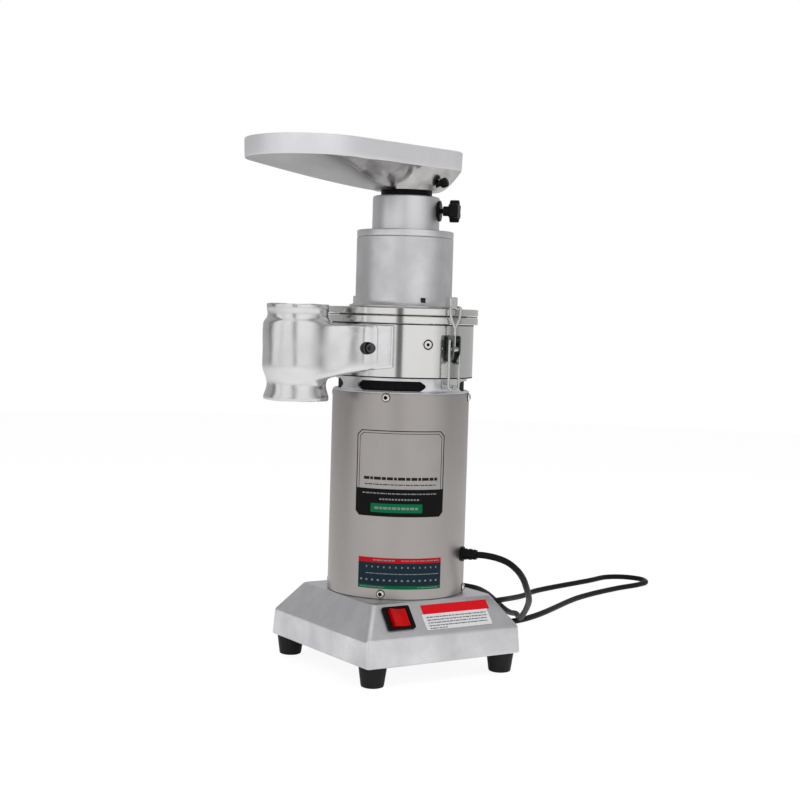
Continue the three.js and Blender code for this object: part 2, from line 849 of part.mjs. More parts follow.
function makeMotor(spinning) {
  const stator = ringOf([
    [statorBore, statorBottom], [bracketRadius, statorBottom],
    [bracketRadius, statorTop], [statorBore, statorTop],
  ], largeSides);
  add('stator_core', stator, motorIron());
  const windingMiddle = (windingInner + windingOuter) / 2;
  [['lower', statorBottom - fit, -1], ['upper', statorTop + fit, 1]].forEach(([name, root, sign]) => {
    const winding = ringOf([
      [windingInner, root], [windingOuter, root],
      [windingOuter, root + sign * windingHeight * 2 / 3], [windingMiddle, root + sign * windingHeight],
      [windingInner, root + sign * windingHeight * 2 / 3],
    ], hiddenSides);
    add(`winding_${name}`, winding, copper());
  });

  const rotor = ringOf([
    [shaftCoreRadius + fit, statorBottom], [statorBore - airGap, statorBottom],
    [statorBore - airGap, statorTop], [shaftCoreRadius + fit, statorTop],
  ], hiddenSides);
  add('rotor_core', rotor, motorIron(), spinning);

  const lowerShoulder = lowerSeat + bearingWidth + fit;
  const upperShoulder = upperSeat - fit;
  const shaftTop = nutBottom + nutHeight + shaftThreadEnd;
  const shaft = revolve([
    [0, lowerSeat - shaftTail], [shaftRadius, lowerSeat - shaftTail], [shaftRadius, lowerShoulder],
    [shaftCoreRadius, lowerShoulder], [shaftCoreRadius, upperShoulder], [shaftRadius, upperShoulder],
    [shaftRadius, shaftTop], [0, shaftTop],
  ], hiddenSides);
  add('shaft', shaft, brightSteel(), spinning);

  makeBearing('lower_bearing', lowerSeat, spinning);
  makeBearing('upper_bearing', upperSeat, spinning);

  const fanBottom = upperSeatTop + bearingLip + fit * 2;
  const hub = ringOf([
    [shaftRadius + fit, fanBottom], [fanRadius, fanBottom], [fanRadius, fanBottom + fanDisc],
    [fanHubRadius, fanBottom + fanDisc], [fanHubRadius, fanBottom + fanHeight],
    [shaftRadius + fit, fanBottom + fanHeight],
  ], hiddenSides);
  const blades = [];
  for (let i = 0; i < fanBlades; i += 1) {
    blades.push(slab(fanRadius - fanBladeInner, fanBladeThickness, fanHeight - fanDisc / 2)
      .translate((fanRadius + fanBladeInner) / 2, 0, fanBottom + fanDisc / 2 + (fanHeight - fanDisc / 2) / 2)
      .rotateZ(i / fanBlades * Math.PI * 2));
  }
  add('cooling_fan', join(hub, ...blades), blackPlastic(), spinning);

  const capacitorHeight = baseBottom + basePlateThickness + fit + capacitorRadius;
  const capacitor = disc(capacitorRadius, -capacitorLength / 2, capacitorLength / 2, hiddenSides)
    .rotateY(Math.PI / 2)
    .translate(0, capacitorY, capacitorHeight);
  add('capacitor', capacitor, blackPlastic());
}

// Drum with its outlet window, seal, bolts, toothed liner and screen

function countersunkBolt(grow) {
  return revolve([
    [0, -drumBoltLength - grow], [drumBoltShank + grow, -drumBoltLength - grow],
    [drumBoltShank + grow, -drumBoltHeadDepth - grow], [drumBoltHead + grow, -grow],
    [drumBoltHead + grow, grow ? overrun : fit / 2], [0, grow ? overrun : fit / 2],
  ], smallSides + 2);
}

const outletBolts = [180 - outletBoltHalfAngle, 180 + outletBoltHalfAngle];
const outletBoltHeight = drumBottom + outletBoltRise;
// The drum's wall is faceted, so what lies against its inside keeps clear of the flats
const linerOuter = drumInner * Math.cos(Math.PI / largeSides) - fit;
const outletBoltSeat = drumRadius + fit + saddleThickness - outletBoltHeadHeight;

function makeDrum() {
  const body = ringOf([
    [sealRadius + fit, drumBottom], [drumRadius, drumBottom], [drumRadius, drumTop - flangeThickness],
    [flangeRadius, drumTop - flangeThickness], [flangeRadius, drumTop], [drumInner, drumTop],
    [drumInner, drumBottom + drumFloor], [sealRadius + fit, drumBottom + drumFloor],
  ], largeSides);
  const window = bentBlock({
    inner: drumInner - overrun, outer: drumRadius + overrun,
    bottom: drumBottom + windowSill, top: drumBottom + windowSill + windowHeight,
    from: 180 - windowHalfAngle, to: 180 + windowHalfAngle, steps: 5,
  });
  const boltHoles = Object.values(drumBoltAngles).map((angle) => outward(
    countersunkBolt(fit), angle, drumRadius, drumBottom + drumBoltRise,
  ));
  const outletHoles = outletBolts.map((angle) => outward(
    disc(outletBoltShank + fit, -overrun * 2, overrun, smallSides - 2), angle, drumRadius, outletBoltHeight,
  ));
  add('drum', cut(body, window, ...boltHoles, ...outletHoles), castAluminium());

  Object.entries(drumBoltAngles).forEach(([name, angle]) => {
    const socket = disc(socketRadius, fit / 2 - socketDepth, overrun, hexSides);
    const bolt = outward(cut(countersunkBolt(0), socket), angle, drumRadius, drumBottom + drumBoltRise);
    add(`drum_bolt_${name}`, bolt, darkSteel());
  });

  const seal = ringOf([
    [shaftRadius + fit, drumBottom + fit], [sealRadius, drumBottom + fit],
    [sealRadius, drumBottom + drumFloor], [shaftRadius + fit, drumBottom + drumFloor],
  ], hiddenSides);
  add('shaft_seal', seal, blackRubber());

  const linerBottom = drumBottom + drumFloor + fit;
  const outline = new THREE.Shape();
  const start = polar(linerOuter, -linerHalfAngle, 0);
  outline.moveTo(start.x, start.y);
  for (let i = 1; i <= linerTeeth; i += 1) {
    const point = polar(linerOuter, -linerHalfAngle + linerHalfAngle * 2 * i / linerTeeth, 0);
    outline.lineTo(point.x, point.y);
  }
  for (let i = linerTeeth; i >= 0; i -= 1) {
    const angle = -linerHalfAngle + linerHalfAngle * 2 * i / linerTeeth;
    const root = polar(linerOuter - linerThickness + linerToothDepth, angle, 0);
    const crest = polar(linerOuter - linerThickness, angle, 0);
    if (i < linerTeeth) outline.lineTo(crest.x, crest.y);
    if (i > 0) outline.lineTo(root.x, root.y);
  }
  outline.closePath();
  const liner = new THREE.ExtrudeGeometry(outline, { depth: linerHeight, steps: 1, bevelEnabled: false })
    .translate(0, 0, linerBottom);
  add('toothed_liner', cut(liner, ...boltHoles), darkSteel());

  const endGap = THREE.MathUtils.radToDeg(screenEndGap / linerOuter);
  const [screenFrom, screenTo] = [linerHalfAngle + endGap, 360 - linerHalfAngle - endGap];
  const sheet = bentBlock({
    inner: linerOuter - screenThickness, outer: linerOuter,
    bottom: linerBottom, top: linerBottom + linerHeight,
    from: screenFrom, to: screenTo, steps: 12,
  });
  const holes = [];
  for (let row = 0; row < screenRows; row += 1) {
    for (let column = 0; column < screenColumns; column += 1) {
      const angle = 180 + (column - (screenColumns - 1) / 2) * windowHalfAngle * 2 / screenColumns;
      const height = drumBottom + windowSill + windowHeight * (row + 0.5) / screenRows;
      holes.push(outward(
        disc(screenHoleRadius, -overrun, overrun, screenHoleSides), angle, linerOuter, height,
      ));
    }
  }
  const bolts = outletBolts.map((angle) => outward(
    disc(outletBoltShank + fit, -overrun * 2, overrun, smallSides - 2), angle, drumRadius, outletBoltHeight,
  ));
  add('screen', cut(sheet, ...holes, ...bolts), stainless());
}

// Beater rotor and its nut on the shaft's end

function makeBeaters(spinning) {
  const beaterOuter = linerOuter - linerThickness - beaterRunGap;
  const hub = ringOf([
    [shaftRadius + fit, beaterBottom], [beaterDiscRadius, beaterBottom],
    [beaterDiscRadius, beaterBottom + beaterDiscThickness],
    [beaterHubRadius, beaterBottom + beaterDiscThickness], [beaterHubRadius, beaterHubTop],
    [shaftRadius + fit, beaterHubTop],
  ], innerSides);
  const beaters = [];
  for (let i = 0; i < beaterCount; i += 1) {
    beaters.push(slab(beaterOuter - beaterInner, beaterWidth, beaterHeight + beaterDiscThickness)
      .translate((beaterOuter + beaterInner) / 2, 0, beaterBottom + (beaterHeight + beaterDiscThickness) / 2)
      .rotateZ(i / beaterCount * Math.PI * 2));
  }
  add('beater_rotor', join(hub, ...beaters), stainless(), spinning);
  const nut = ringOf([
    [shaftRadius + fit, nutBottom], [nutAcross / 2, nutBottom],
    [nutAcross / 2, nutBottom + nutHeight], [shaftRadius + fit, nutBottom + nutHeight],
  ], hexSides);
  const bore = disc(shaftRadius + fit, nutBottom - overrun, nutBottom + nutHeight + overrun, hiddenSides);
  add('rotor_nut', cut(nut, bore), brightSteel(), spinning);
}

// Outlet casting: saddle, duct and pipe as one hollow piece

function makeOutlet() {
  const at = (rise) => drumBottom + rise;
  const bottom = at(-outletBottomDrop);
  const pipe = revolve([
    [0, bottom], [outletFlareRadius, bottom], [outletFlareRadius, bottom + outletFlareHeight],
    [outletNeckRadius, bottom + outletNeckRise],
    [outletNeckRadius, bottom + outletNeckRise + outletNeckHeight],
    [outletBodyRadius, bottom + outletShoulderRise],
    [outletBodyRadius, at(outletBodyTop - outletShoulderHeight)],
    [outletBodyRadius - outletShoulderInset, at(outletBodyTop)], [outletGrooveRadius, at(outletGrooveRise)],
    [outletRimRadius, at(outletRimRise)], [outletRimRadius, at(outletTopRise)], [0, at(outletTopRise)],
  ], innerSides + 4).translate(-outletReach, 0, 0);

  const saddleOuter = drumRadius + fit + saddleThickness;
  const saddle = bentBlock({
    inner: drumRadius + fit, outer: saddleOuter, bottom: at(saddleBottomRise), top: at(saddleTopRise),
    from: 180 - saddleHalfAngle, to: 180 + saddleHalfAngle, steps: 12,
  });

  const plan = new THREE.Shape();
  plan.moveTo(-outletReach, -outletBodyRadius + fit);
  plan.quadraticCurveTo(-ductWaistReach, -ductHalfWidth + saddleThickness, -drumRadius, -ductRootHalfWidth);
  plan.lineTo(-drumRadius / 2, -ductRootHalfWidth);
  plan.lineTo(-drumRadius / 2, ductRootHalfWidth);
  plan.lineTo(-drumRadius, ductRootHalfWidth);
  plan.quadraticCurveTo(-ductWaistReach, ductHalfWidth - saddleThickness, -outletReach, outletBodyRadius - fit);
  plan.closePath();
  const duct = new THREE.ExtrudeGeometry(plan, {
    depth: outletBodyTop - ductBottomRise, steps: 1, bevelEnabled: false, curveSegments: 6,
  }).translate(0, 0, at(ductBottomRise));
  const sideView = new THREE.Shape();
  sideView.moveTo(-outletReach - outletBodyRadius, ductBottomRise);
  sideView.lineTo(-outletReach + outletNeckRadius / 2, ductBottomRise);
  sideView.quadraticCurveTo(
    -drumRadius - saddleThickness * 2, ductBottomRise + fit, -drumRadius / 2, saddleBottomRise + fit,
  );
  sideView.lineTo(-drumRadius / 2, outletBodyTop);
  sideView.lineTo(-outletReach - outletBodyRadius, outletBodyTop);
  sideView.closePath();
  const silhouette = new THREE.ExtrudeGeometry(sideView, {
    depth: ductRootHalfWidth * 4, steps: 1, bevelEnabled: false, curveSegments: 5,
  }).rotateX(Math.PI / 2).translate(0, ductRootHalfWidth * 2, drumBottom);

  const drumSpace = disc(drumRadius + fit, at(-overrun * 4), at(drumHeight), largeSides);
  const pipeBore = disc(outletBore, bottom - overrun, at(outletTopRise) + overrun, innerSides)
    .translate(-outletReach, 0, 0);
  const ductBore = slab(outletReach - drumInner, ductBoreHalfWidth * 2, windowHeight)
    .translate(-(outletReach + drumInner) / 2, 0, at(windowSill + windowHeight / 2));
  const recesses = outletBolts.map((angle) => outward(
    disc(outletBoltRecess, 0, overrun * 3, smallSides + 4), angle, outletBoltSeat, outletBoltHeight,
  ));
  const shanks = outletBolts.map((angle) => outward(
    disc(outletBoltShank + fit, -overrun * 2, overrun, smallSides - 2), angle, outletBoltSeat, outletBoltHeight,
  ));
  const outside = cut(join(pipe, saddle, overlapOf(duct, silhouette)), drumSpace);
  add('outlet_casting', cut(outside, pipeBore, ductBore, ...recesses, ...shanks), castAluminium());

  outletBolts.forEach((angle) => {
    const shankEnd = drumInner - outletBoltSeat + fit * 2;
    const bolt = revolve([
      [0, shankEnd], [outletBoltShank, shankEnd], [outletBoltShank, fit],
      [outletBoltHead, fit], [outletBoltHead, outletBoltHeadHeight], [0, outletBoltHeadHeight],
    ], smallSides);
    const socket = disc(
      outletSocketRadius, outletBoltHeadHeight - socketDepth, outletBoltHeadHeight + overrun, hexSides,
    );
    add(`outlet_bolt_${angle < 180 ? 'back' : 'front'}`, outward(cut(bolt, socket), angle, outletBoltSeat,
      outletBoltHeight), darkSteel());
  });
}

// Lid, gasket and the neck on top of the tower

// Block on the lid's rim that holds a latch's bail, chamfered where the wire slips over it
function latchPost(angle) {
  const side = new THREE.Shape();
  side.moveTo(postInner, fit);
  side.lineTo(postInner, postHeight - postChamfer);
  side.lineTo(postInner + postChamfer, postHeight);
  side.lineTo(postOuter - postChamfer, postHeight);
  side.lineTo(postOuter, postHeight - postChamfer);
  side.lineTo(postOuter, fit);
  side.closePath();
  return new THREE.ExtrudeGeometry(side, { depth: postHalfWidth * 2, steps: 1, bevelEnabled: false })
    .rotateX(Math.PI / 2)
    .translate(0, postHalfWidth, lidTop)
    .rotateZ(degrees(angle));
}

function makeLid() {
  const gasket = ringOf([
    [flangeRadius - gasketInset - gasketWidth, gasketBottom], [flangeRadius - gasketInset, gasketBottom],
    [flangeRadius - gasketInset, gasketBottom + gasketThickness],
    [flangeRadius - gasketInset - gasketWidth, gasketBottom + gasketThickness],
  ], largeSides);
  add('lid_gasket', gasket, blackRubber());

  const lid = ringOf([
    [throatRadius, lidBottom - lidSpigot], [drumInner - fit * 2, lidBottom - lidSpigot],
    [drumInner - fit * 2, lidBottom], [flangeRadius, lidBottom], [flangeRadius, lidTop],
    [throatRadius, lidTop],
  ], largeSides);
  add('lid', lid, castAluminium());
  Object.entries(latchAngles).forEach(([name, angle]) => {
    add(`latch_${name}_post`, latchPost(angle), castAluminium());
  });

  const towerBottom = lidTop + fit;
  const tower = ringOf([
    [throatRadius, towerBottom], [towerRadius + towerFlare, towerBottom],
    [towerRadius + towerFlare, towerBottom + towerFootEdge],
    [towerRadius + towerFlare / 4, lidTop + towerFlareHeight / 2],
    [towerRadius, lidTop + towerFlareHeight], [towerRadius, towerTop], [towerInner, towerTop],
    [towerInner, lidTop + towerFloor], [throatRadius, towerBottom + towerFootEdge],
  ], largeSides);
  add('tower', tower, castAluminium());

  const seat = capBottom - capSpigot + neckLip;
  const neck = ringOf([
    [throatRadius, capBottom - capSpigot], [towerInner - fit, capBottom - capSpigot],
    [towerInner - fit, capBottom], [towerRadius, capBottom], [towerRadius, capTop - neckRound / 2],
    [towerRadius - neckRound / 2, capTop], [neckRadius, capTop], [neckRadius, neckTop - neckRound],
    [neckRadius - neckRound / 3, neckTop - neckRound / 3],
    [neckRadius - neckRound, neckTop], [feedTubeRadius + fit, neckTop], [feedTubeRadius + fit, seat],
    [throatRadius, seat],
  ], largeSides);
  const studHole = outward(
    disc(studRadius + fit, -overrun * 2, overrun, smallSides), neckKnobAngle, neckRadius, capTop + neckKnobRise,
  );
  add('neck', cut(neck, studHole), turnedAluminium());
}

// Feed tube, which lifts out of the neck and carries the tray

const feedTubeBottom = capBottom - capSpigot + neckLip + fit;
const feedTubeTop = neckTop + feedTubeRise;

function makeFeedTube(lifting) {
  const tube = ringOf([
    [throatRadius, feedTubeBottom], [feedTubeRadius, feedTubeBottom],
    [feedTubeRadius, feedTubeTop], [throatRadius, feedTubeTop],
  ], largeSides);
  add('feed_tube', tube, blackPlastic(), lifting);
}

// Star knob with its stud, and the washer behind it

function makeNeckKnob() {
  const height = capTop + neckKnobRise;
  const washer = ringOf([
    [studRadius + fit, 0], [washerRadius, 0],
    [washerRadius, washerThickness], [studRadius + fit, washerThickness],
  ], hiddenSides);
  add('neck_washer', outward(washer, neckKnobAngle, neckRadius + fit, height), blackPlastic());

  const star = new THREE.Shape();
  const points = starLobes * 4;
  for (let i = 0; i < points; i += 1) {
    const angle = i / points * Math.PI * 2;
    const wave = (1 + Math.cos(angle * starLobes)) / 2;
    const radius = starValley + (starRadius - starBevel - starValley) * wave;
    if (i === 0) star.moveTo(radius, 0);
    else star.lineTo(radius * Math.cos(angle), radius * Math.sin(angle));
  }
  star.closePath();
  const hubFoot = neckRadius + fit + washerThickness + studShow;
  const headFoot = hubFoot + knobHubLength;
  const head = new THREE.ExtrudeGeometry(star, {
    depth: starThickness - starBevel * 2, steps: 1, bevelEnabled: true,
    bevelSize: starBevel, bevelThickness: starBevel, bevelSegments: 1,
  }).translate(0, 0, headFoot + starBevel);
  const stem = revolve([
    [0, feedTubeRadius + fit], [studRadius, feedTubeRadius + fit], [studRadius, hubFoot],
    [knobHubRadius, hubFoot], [knobHubRadius, headFoot + starBevel * 2], [0, headFoot + starBevel * 2],
  ], smallSides);
  add('neck_knob', outward(join(head, stem), neckKnobAngle, 0, height), blackPlastic());
}

// Tray: rings run round the boss, so each one blends from the boss's circle to the teardrop

// Reach of the teardrop from the boss's axis in a direction: the furthest of its two round ends
// and the straight walls that touch both
function trayReach(angle, inset) {
  const [x, y] = [Math.cos(angle), Math.abs(Math.sin(angle))];
  const far = trayFarRadius - inset;
  const nose = trayNoseRadius - inset;
  const lean = Math.asin((far - nose) / (trayFarCentre + trayNoseCentre));
  const normal = [Math.sin(lean), Math.cos(lean)];
  const facing = x * normal[0] + y * normal[1];
  const wallReach = (nose + trayNoseCentre * normal[0]) / facing;
  const circle = (centre, radius) => {
    const along = centre * x;
    return along + Math.sqrt(Math.max(radius * radius - centre * centre * y * y, 0));
  };
  const hit = wallReach * x;
  if (facing <= 0 || hit < -trayFarCentre + far * normal[0]) return circle(-trayFarCentre, far);
  if (hit > trayNoseCentre + nose * normal[0]) return circle(trayNoseCentre, nose);
  return wallReach;
}

// Directions round the boss, closer together towards the far end, where they reach furthest
function trayDirections() {
  const angles = [];
  for (let i = 0; i < traySides; i += 1) {
    const turn = i / traySides * 2;
    const fromNose = 1 - Math.abs(1 - turn);
    const bunched = Math.PI * (1 - (1 - fromNose) ** trayBunching);
    angles.push(turn <= 1 ? bunched : Math.PI * 2 - bunched);
  }
  return angles;
}

// How the underside climbs from the boss: a straight chute towards the far end, a trumpet at the sides
// and a full belly under the nose
function bellyShare(angle, share) {
  const fromFar = Math.abs(THREE.MathUtils.radToDeg(angle) - 180);
  const chuteEdge = trayChuteHalfAngle + trayChuteBlendAngle;
  const leaving = THREE.MathUtils.smoothstep(fromFar, trayChuteHalfAngle, chuteEdge);
  const nearing = THREE.MathUtils.smoothstep(fromFar, trayNoseFromAngle, trayNoseToAngle);
  const side = leaving * (1 - nearing);
  return share ** (chutePowerShare * (1 - side - nearing) + sidePowerShare * side + nosePowerShare * nearing);
}

function makeTray(swivelling) {
  const angles = trayDirections();
  const ringAt = (radiusOf, heightOf) => angles.map((angle) => {
    const radius = radiusOf(angle);
    return new THREE.Vector3(radius * Math.cos(angle), radius * Math.sin(angle), heightOf(angle));
  });
  const rings = [];
  for (let i = 0; i < trayBellyRings; i += 1) {
    const share = i / trayBellyRings;
    rings.push(ringAt(
      (angle) => trayBossRadius + (trayReach(angle, trayDraft) - trayBossRadius) * share,
      (angle) => trayBottom + trayBellyHeight * bellyShare(angle, share),
    ));
  }
  rings.push(ringAt((angle) => trayReach(angle, trayDraft), () => trayCrease));
  rings.push(ringAt((angle) => trayReach(angle, 0), () => trayTop - trayLipRound));
  rings.push(ringAt((angle) => trayReach(angle, trayLipRound / 2), () => trayTop));
  rings.push(ringAt((angle) => trayReach(angle, trayWall - trayLipRound / 2), () => trayTop));
  rings.push(ringAt((angle) => trayReach(angle, trayWall), () => trayTop - trayLipRound));
  for (let i = trayFloorRings; i >= 0; i -= 1) {
    const share = i / trayFloorRings;
    rings.push(ringAt(
      (angle) => throatRadius + (trayReach(angle, trayWall + trayDraft) - throatRadius) * share,
      () => trayBottom + trayThroatRise + (trayFloorRise - trayThroatRise) * share,
    ));
  }
  const socketTop = trayBottom + traySocketDepth;
  rings.push(ringAt(() => throatRadius, () => socketTop));
  rings.push(ringAt(() => feedTubeRadius + fit, () => socketTop));
  rings.push(ringAt(() => feedTubeRadius + fit, () => trayBottom));
  const past = trayKnobStandoff + trayKnobLength + overrun * 2;
  const paths = [
    disc(trayStudRadius + fit, -overrun * 2, past, smallSides - 2),
    disc(trayKnobRadius + fit * 3, trayKnobStandoff - fit * 2, past, smallSides),
  ].map((path) => outward(path, trayKnobAngle, trayBossRadius, trayBottom + trayKnobRise, trayKnobTilt));
  add('tray', cut(loft(rings, true), ...paths), castAluminium(), swivelling);
}

function makeTrayKnob(swivelling) {
  const bossWall = trayBossRadius - feedTubeRadius - fit;
  const reachIn = bossWall / Math.cos(degrees(trayKnobTilt)) - trayStudRadius / 2;
  const knob = revolve([
    [0, -reachIn], [trayStudRadius, -reachIn], [trayStudRadius, trayKnobStandoff],
    [trayKnobEndRadius, trayKnobStandoff], [trayKnobRadius, trayKnobStandoff + trayKnobEdge],
    [trayKnobRadius, trayKnobStandoff + trayKnobLength - trayKnobEdge],
    [trayKnobEndRadius, trayKnobStandoff + trayKnobLength], [0, trayKnobStandoff + trayKnobLength],
  ], smallSides);
  add('tray_knob', outward(
    knob, trayKnobAngle, trayBossRadius, trayBottom + trayKnobRise, trayKnobTilt,
  ), blackPlastic(), swivelling);
}

// Toggle latches. Each is made facing +Y, with X along the rim and Z up, and then turned to its place

const latchPin = drumBottom + latchPinRise;
const latchRod = latchPin - latchRodDrop;
const hookTab = ventBottom + hookTabRise;
const linkFoot = hookTab - fit - latchWire;
const bailBar = lidTop + bailBarGap + latchWire;

function onRim(geometry, angle) {
  return geometry.rotateZ(degrees(angle - 90));
}

function crossPin(radius, halfLength, reach, height, sides) {
  return disc(radius, -halfLength, halfLength, sides).rotateY(Math.PI / 2).translate(0, reach, height);
}

// A flat outline of reach and height, as thick as the piece is wide
function crossPlate(outline, halfWidth) {
  const side = new THREE.Shape();
  outline.forEach(([reach, height], i) => (i ? side.lineTo(reach, height) : side.moveTo(reach, height)));
  side.closePath();
  return new THREE.ExtrudeGeometry(side, { depth: halfWidth * 2, steps: 1, bevelEnabled: false })
    .rotateX(Math.PI / 2)
    .rotateZ(Math.PI / 2)
    .translate(-halfWidth, 0, 0);
}

function makeHook(name, angle) {
  const back = ventRingRadius + fit;
  const face = back + hookSheet;
  const top = hookTab + hookTabHeight;
  const hook = crossPlate([
    [back, hookTab - hookPlateRise], [face, hookTab - hookPlateRise], [face, hookTab],
    [hookReach - hookSheet, hookTab], [hookReach - hookSheet, hookTab - hookLip],
    [hookReach, hookTab - hookLip], [hookReach, top], [face, top], [face, top + hookPlateRise],
    [back, top + hookPlateRise],
  ], hookHalfWidth);
  add(`latch_${name}_hook`, onRim(hook, angle), zincSteel());
}

// Wire loop from the lever's pivot holes down under the hook
function makeLink(name, angle) {
  const point = (x, height) => new THREE.Vector3(x, latchPinReach, height);
  const right = [
    point(linkEndHalfGap, latchPin), point(linkHalfWidth - wireBend, latchPin),
    point(linkHalfWidth - wireBend / 3, latchPin - wireBend / 3), point(linkHalfWidth, latchPin - wireBend),
    point(linkHalfWidth, linkFoot + wireBend), point(linkHalfWidth - wireBend / 3, linkFoot + wireBend / 3),
    point(linkHalfWidth - wireBend, linkFoot),
  ];
  const left = right.map(({ x, z }) => point(-x, z)).reverse();
  add(`latch_${name}_link`, onRim(wire([...right, ...left]), angle), zincSteel());
}

// Lever: a folded channel, open outward, with a finger lip at its foot
function makeLever(name, angle, swinging) {
  const [back, front] = [latchPinReach - leverBack, latchPinReach + leverFront];
  const [bottom, top] = [latchPin - leverFoot, latchPin + leverTop];
  const block = slab(leverHalfWidth * 2, front - back, top - bottom)
    .translate(0, (front + back) / 2, (top + bottom) / 2);
  const trough = slab((leverHalfWidth - leverSheet) * 2, front - back, top - bottom)
    .translate(0, (front + back) / 2 + leverSheet, (top + bottom) / 2);
  const lip = crossPlate([
    [back, bottom], [back + leverSheet, bottom + leverSheet], [front, bottom + leverSheet],
    [front + leverLip, bottom - leverSheet], [front + leverLip, bottom - leverSheet * 2], [front, bottom],
  ], leverHalfWidth);
  const pinHole = crossPin(latchWire + fit, leverHalfWidth + overrun, latchPinReach, latchPin, smallSides - 2);
  const rodHole = crossPin(latchRodRadius + fit, leverHalfWidth + overrun, latchPinReach, latchRod, smallSides);
  add(`latch_${name}_lever`, onRim(cut(join(cut(block, trough), lip), pinHole, rodHole), angle), zincSteel(),
    swinging);
  const rod = crossPin(latchRodRadius, leverHalfWidth, latchPinReach, latchRod, smallSides);
  add(`latch_${name}_rod`, onRim(rod, angle), zincSteel(), swinging);
}

// Bail: an eye round the rod, a stem, and a wire loop that reaches over the flange behind the post
function makeBail(name, angle, swinging) {
  const fork = latchRod + bailStem;
  const shoulder = fork + bailSpread;
  const bore = crossPin(latchRodRadius + fit, bailEyeWidth, latchPinReach, latchRod, smallSides);
  const eye = cut(crossPin(bailEyeRadius, bailEyeWidth / 2, latchPinReach, latchRod, smallSides), bore);
  const stem = disc(latchWire, latchRod + (bailEyeRadius + latchRodRadius) / 2, fork, wireSides)
    .translate(0, latchPinReach, 0);
  const right = [
    [latchWire / 2, latchPinReach, fork - latchWire],
    [bailHalfWidth - wireBend, latchPinReach, shoulder - wireBend * 2],
    [bailHalfWidth, latchPinReach, shoulder],
    [bailHalfWidth, latchPinReach, bailBar - wireBend],
    [bailHalfWidth, latchPinReach - wireBend / 3, bailBar - wireBend / 3],
    [bailHalfWidth, latchPinReach - wireBend, bailBar],
    [bailHalfWidth, bailBarReach + wireBend, bailBar],
    [bailHalfWidth - wireBend / 3, bailBarReach + wireBend / 3, bailBar],
    [bailHalfWidth - wireBend, bailBarReach, bailBar],
  ].map((place) => new THREE.Vector3(...place));
  const left = right.map(({ x, y, z }) => new THREE.Vector3(-x, y, z)).reverse();
  const loop = wire([...right, ...left]);
  add(`latch_${name}_bail`, onRim(join(loop, eye, stem), angle), zincSteel(), swinging);
}

// Cable gland on the sleeve

const glandEnd = sleeveRadius + fit + glandLength;

function makeGland() {
  const profile = [[0, -glandInside], [glandRadius - fit, -glandInside], [glandRadius - fit, fit]];
  profile.push([glandFlangeRadius, fit], [glandFlangeRadius, fit + glandFlangeThickness]);
  const ribStart = fit + glandFlangeThickness;
  const ribPitch = (glandLength - ribStart) / (glandRibs + 1 / 2);
  const valley = glandRadius - glandRibDepth;
  for (let i = 0; i < glandRibs; i += 1) {
    const foot = ribStart + ribPitch * i;
    const shoulder = foot + ribPitch * glandRibShare;
    profile.push([glandRadius, foot], [glandRadius, shoulder], [valley, shoulder], [valley, foot + ribPitch]);
  }
  profile.push([glandTipRadius, glandLength], [0, glandLength]);
  add('cable_gland', outward(revolve(profile, smallSides), glandAngle, sleeveRadius + fit, baseTop + glandRise),
    blackPlastic());
}

// Cord: out of the gland, down in an arc, behind the base in a loop, out to the right and back again.
// Chosen by hand, along the centreline, from the motor's axis
const cordRoute = [
  [71.5, -82.2, 120], [83.5, -86.6, 115], [97, -85.5, 106], [110.5, -79, 95], [125, -67, 82], [146, -45, 66],
  [177, -4, 48], [212, 49, 25.5], [234, 84, 13], [250, 112, 11.6], [262, 138, 7.2], [276, 168, 4.6],
  [329, 285, 3.6], [336, 322, 3.6], [323, 353, 3.6], [293, 363, 3.6], [262, 344, 3.6], [241, 290, 3.6],
  [233, 235, 4.4], [241, 203, 8.6], [262, 189, 11.6], [288, 194, 11.6], [321, 214, 8], [358, 238, 4.4],
  [397, 262, 3.7], [520, 297, 3.6], [566, 310, 3.6], [589, 300, 3.6], [599, 277, 3.6], [589, 254, 3.6],
  [566, 243, 3.6], [515, 232, 3.6], [425, 201, 3.6], [254, 110, 3.6],
];
const cordRest = 3.6;

// Coil behind the base, and the short tail that takes the cord from it to the plug
const coilPlace = [130, 150];
const coilMeanRadius = 38.5;
const coilTurnGap = 0.65;
const coilTurnsPerLayer = 1.5;
const tailRoute = [[98, 107, 8.6], [70, 119, 3.7]];
const plugPlace = [50, 121, 7.4];
const plugHeading = 180;

const coilPitch = cordRadius * 2 + coilTurnGap;

// The coil winds inward on the ground, climbs a layer in half a turn, and winds outward again
function coilPoint(turn) {
  const inward = Math.min(turn, coilTurnsPerLayer);
  const outward = Math.max(turn - coilTurnsPerLayer, 0);
  const radius = coilMeanRadius + coilPitch * (coilTurnsPerLayer / 2 - inward + outward);
  const climb = THREE.MathUtils.clamp((turn - coilTurnsPerLayer) * 2 + 0.5, 0, 1);
  const angle = -Math.PI / 2 - turn * Math.PI * 2;
  return new THREE.Vector3(
    coilPlace[0] + radius * Math.cos(angle),
    coilPlace[1] + radius * Math.sin(angle),
    cordRest + coilPitch * climb,
  );
}

function coilPoints() {
  const steps = coilTurnsPerLayer * 2 * coilStepsPerTurn;
  const points = [];
  for (let i = 0; i <= steps; i += 1) {
    points.push(coilPoint(i / coilStepsPerTurn));
  }
  const lead = new THREE.Vector3(cordRadius * 2, 0, 0);
  return [points[0].clone().add(lead), ...points, points[steps].clone().sub(lead)];
}

// Closest that two stretches of the coil come to each other, past the bend that joins them
function coilLeastGap() {
  const points = coilPoints();
  const apart = coilStepsPerTurn / 4;
  let least = Infinity;
  points.forEach((point, i) => {
    for (let k = i + apart; k < points.length; k += 1) {
      least = Math.min(least, point.distanceTo(points[k]) - cordRadius * 2);
    }
  });
  return least;
}

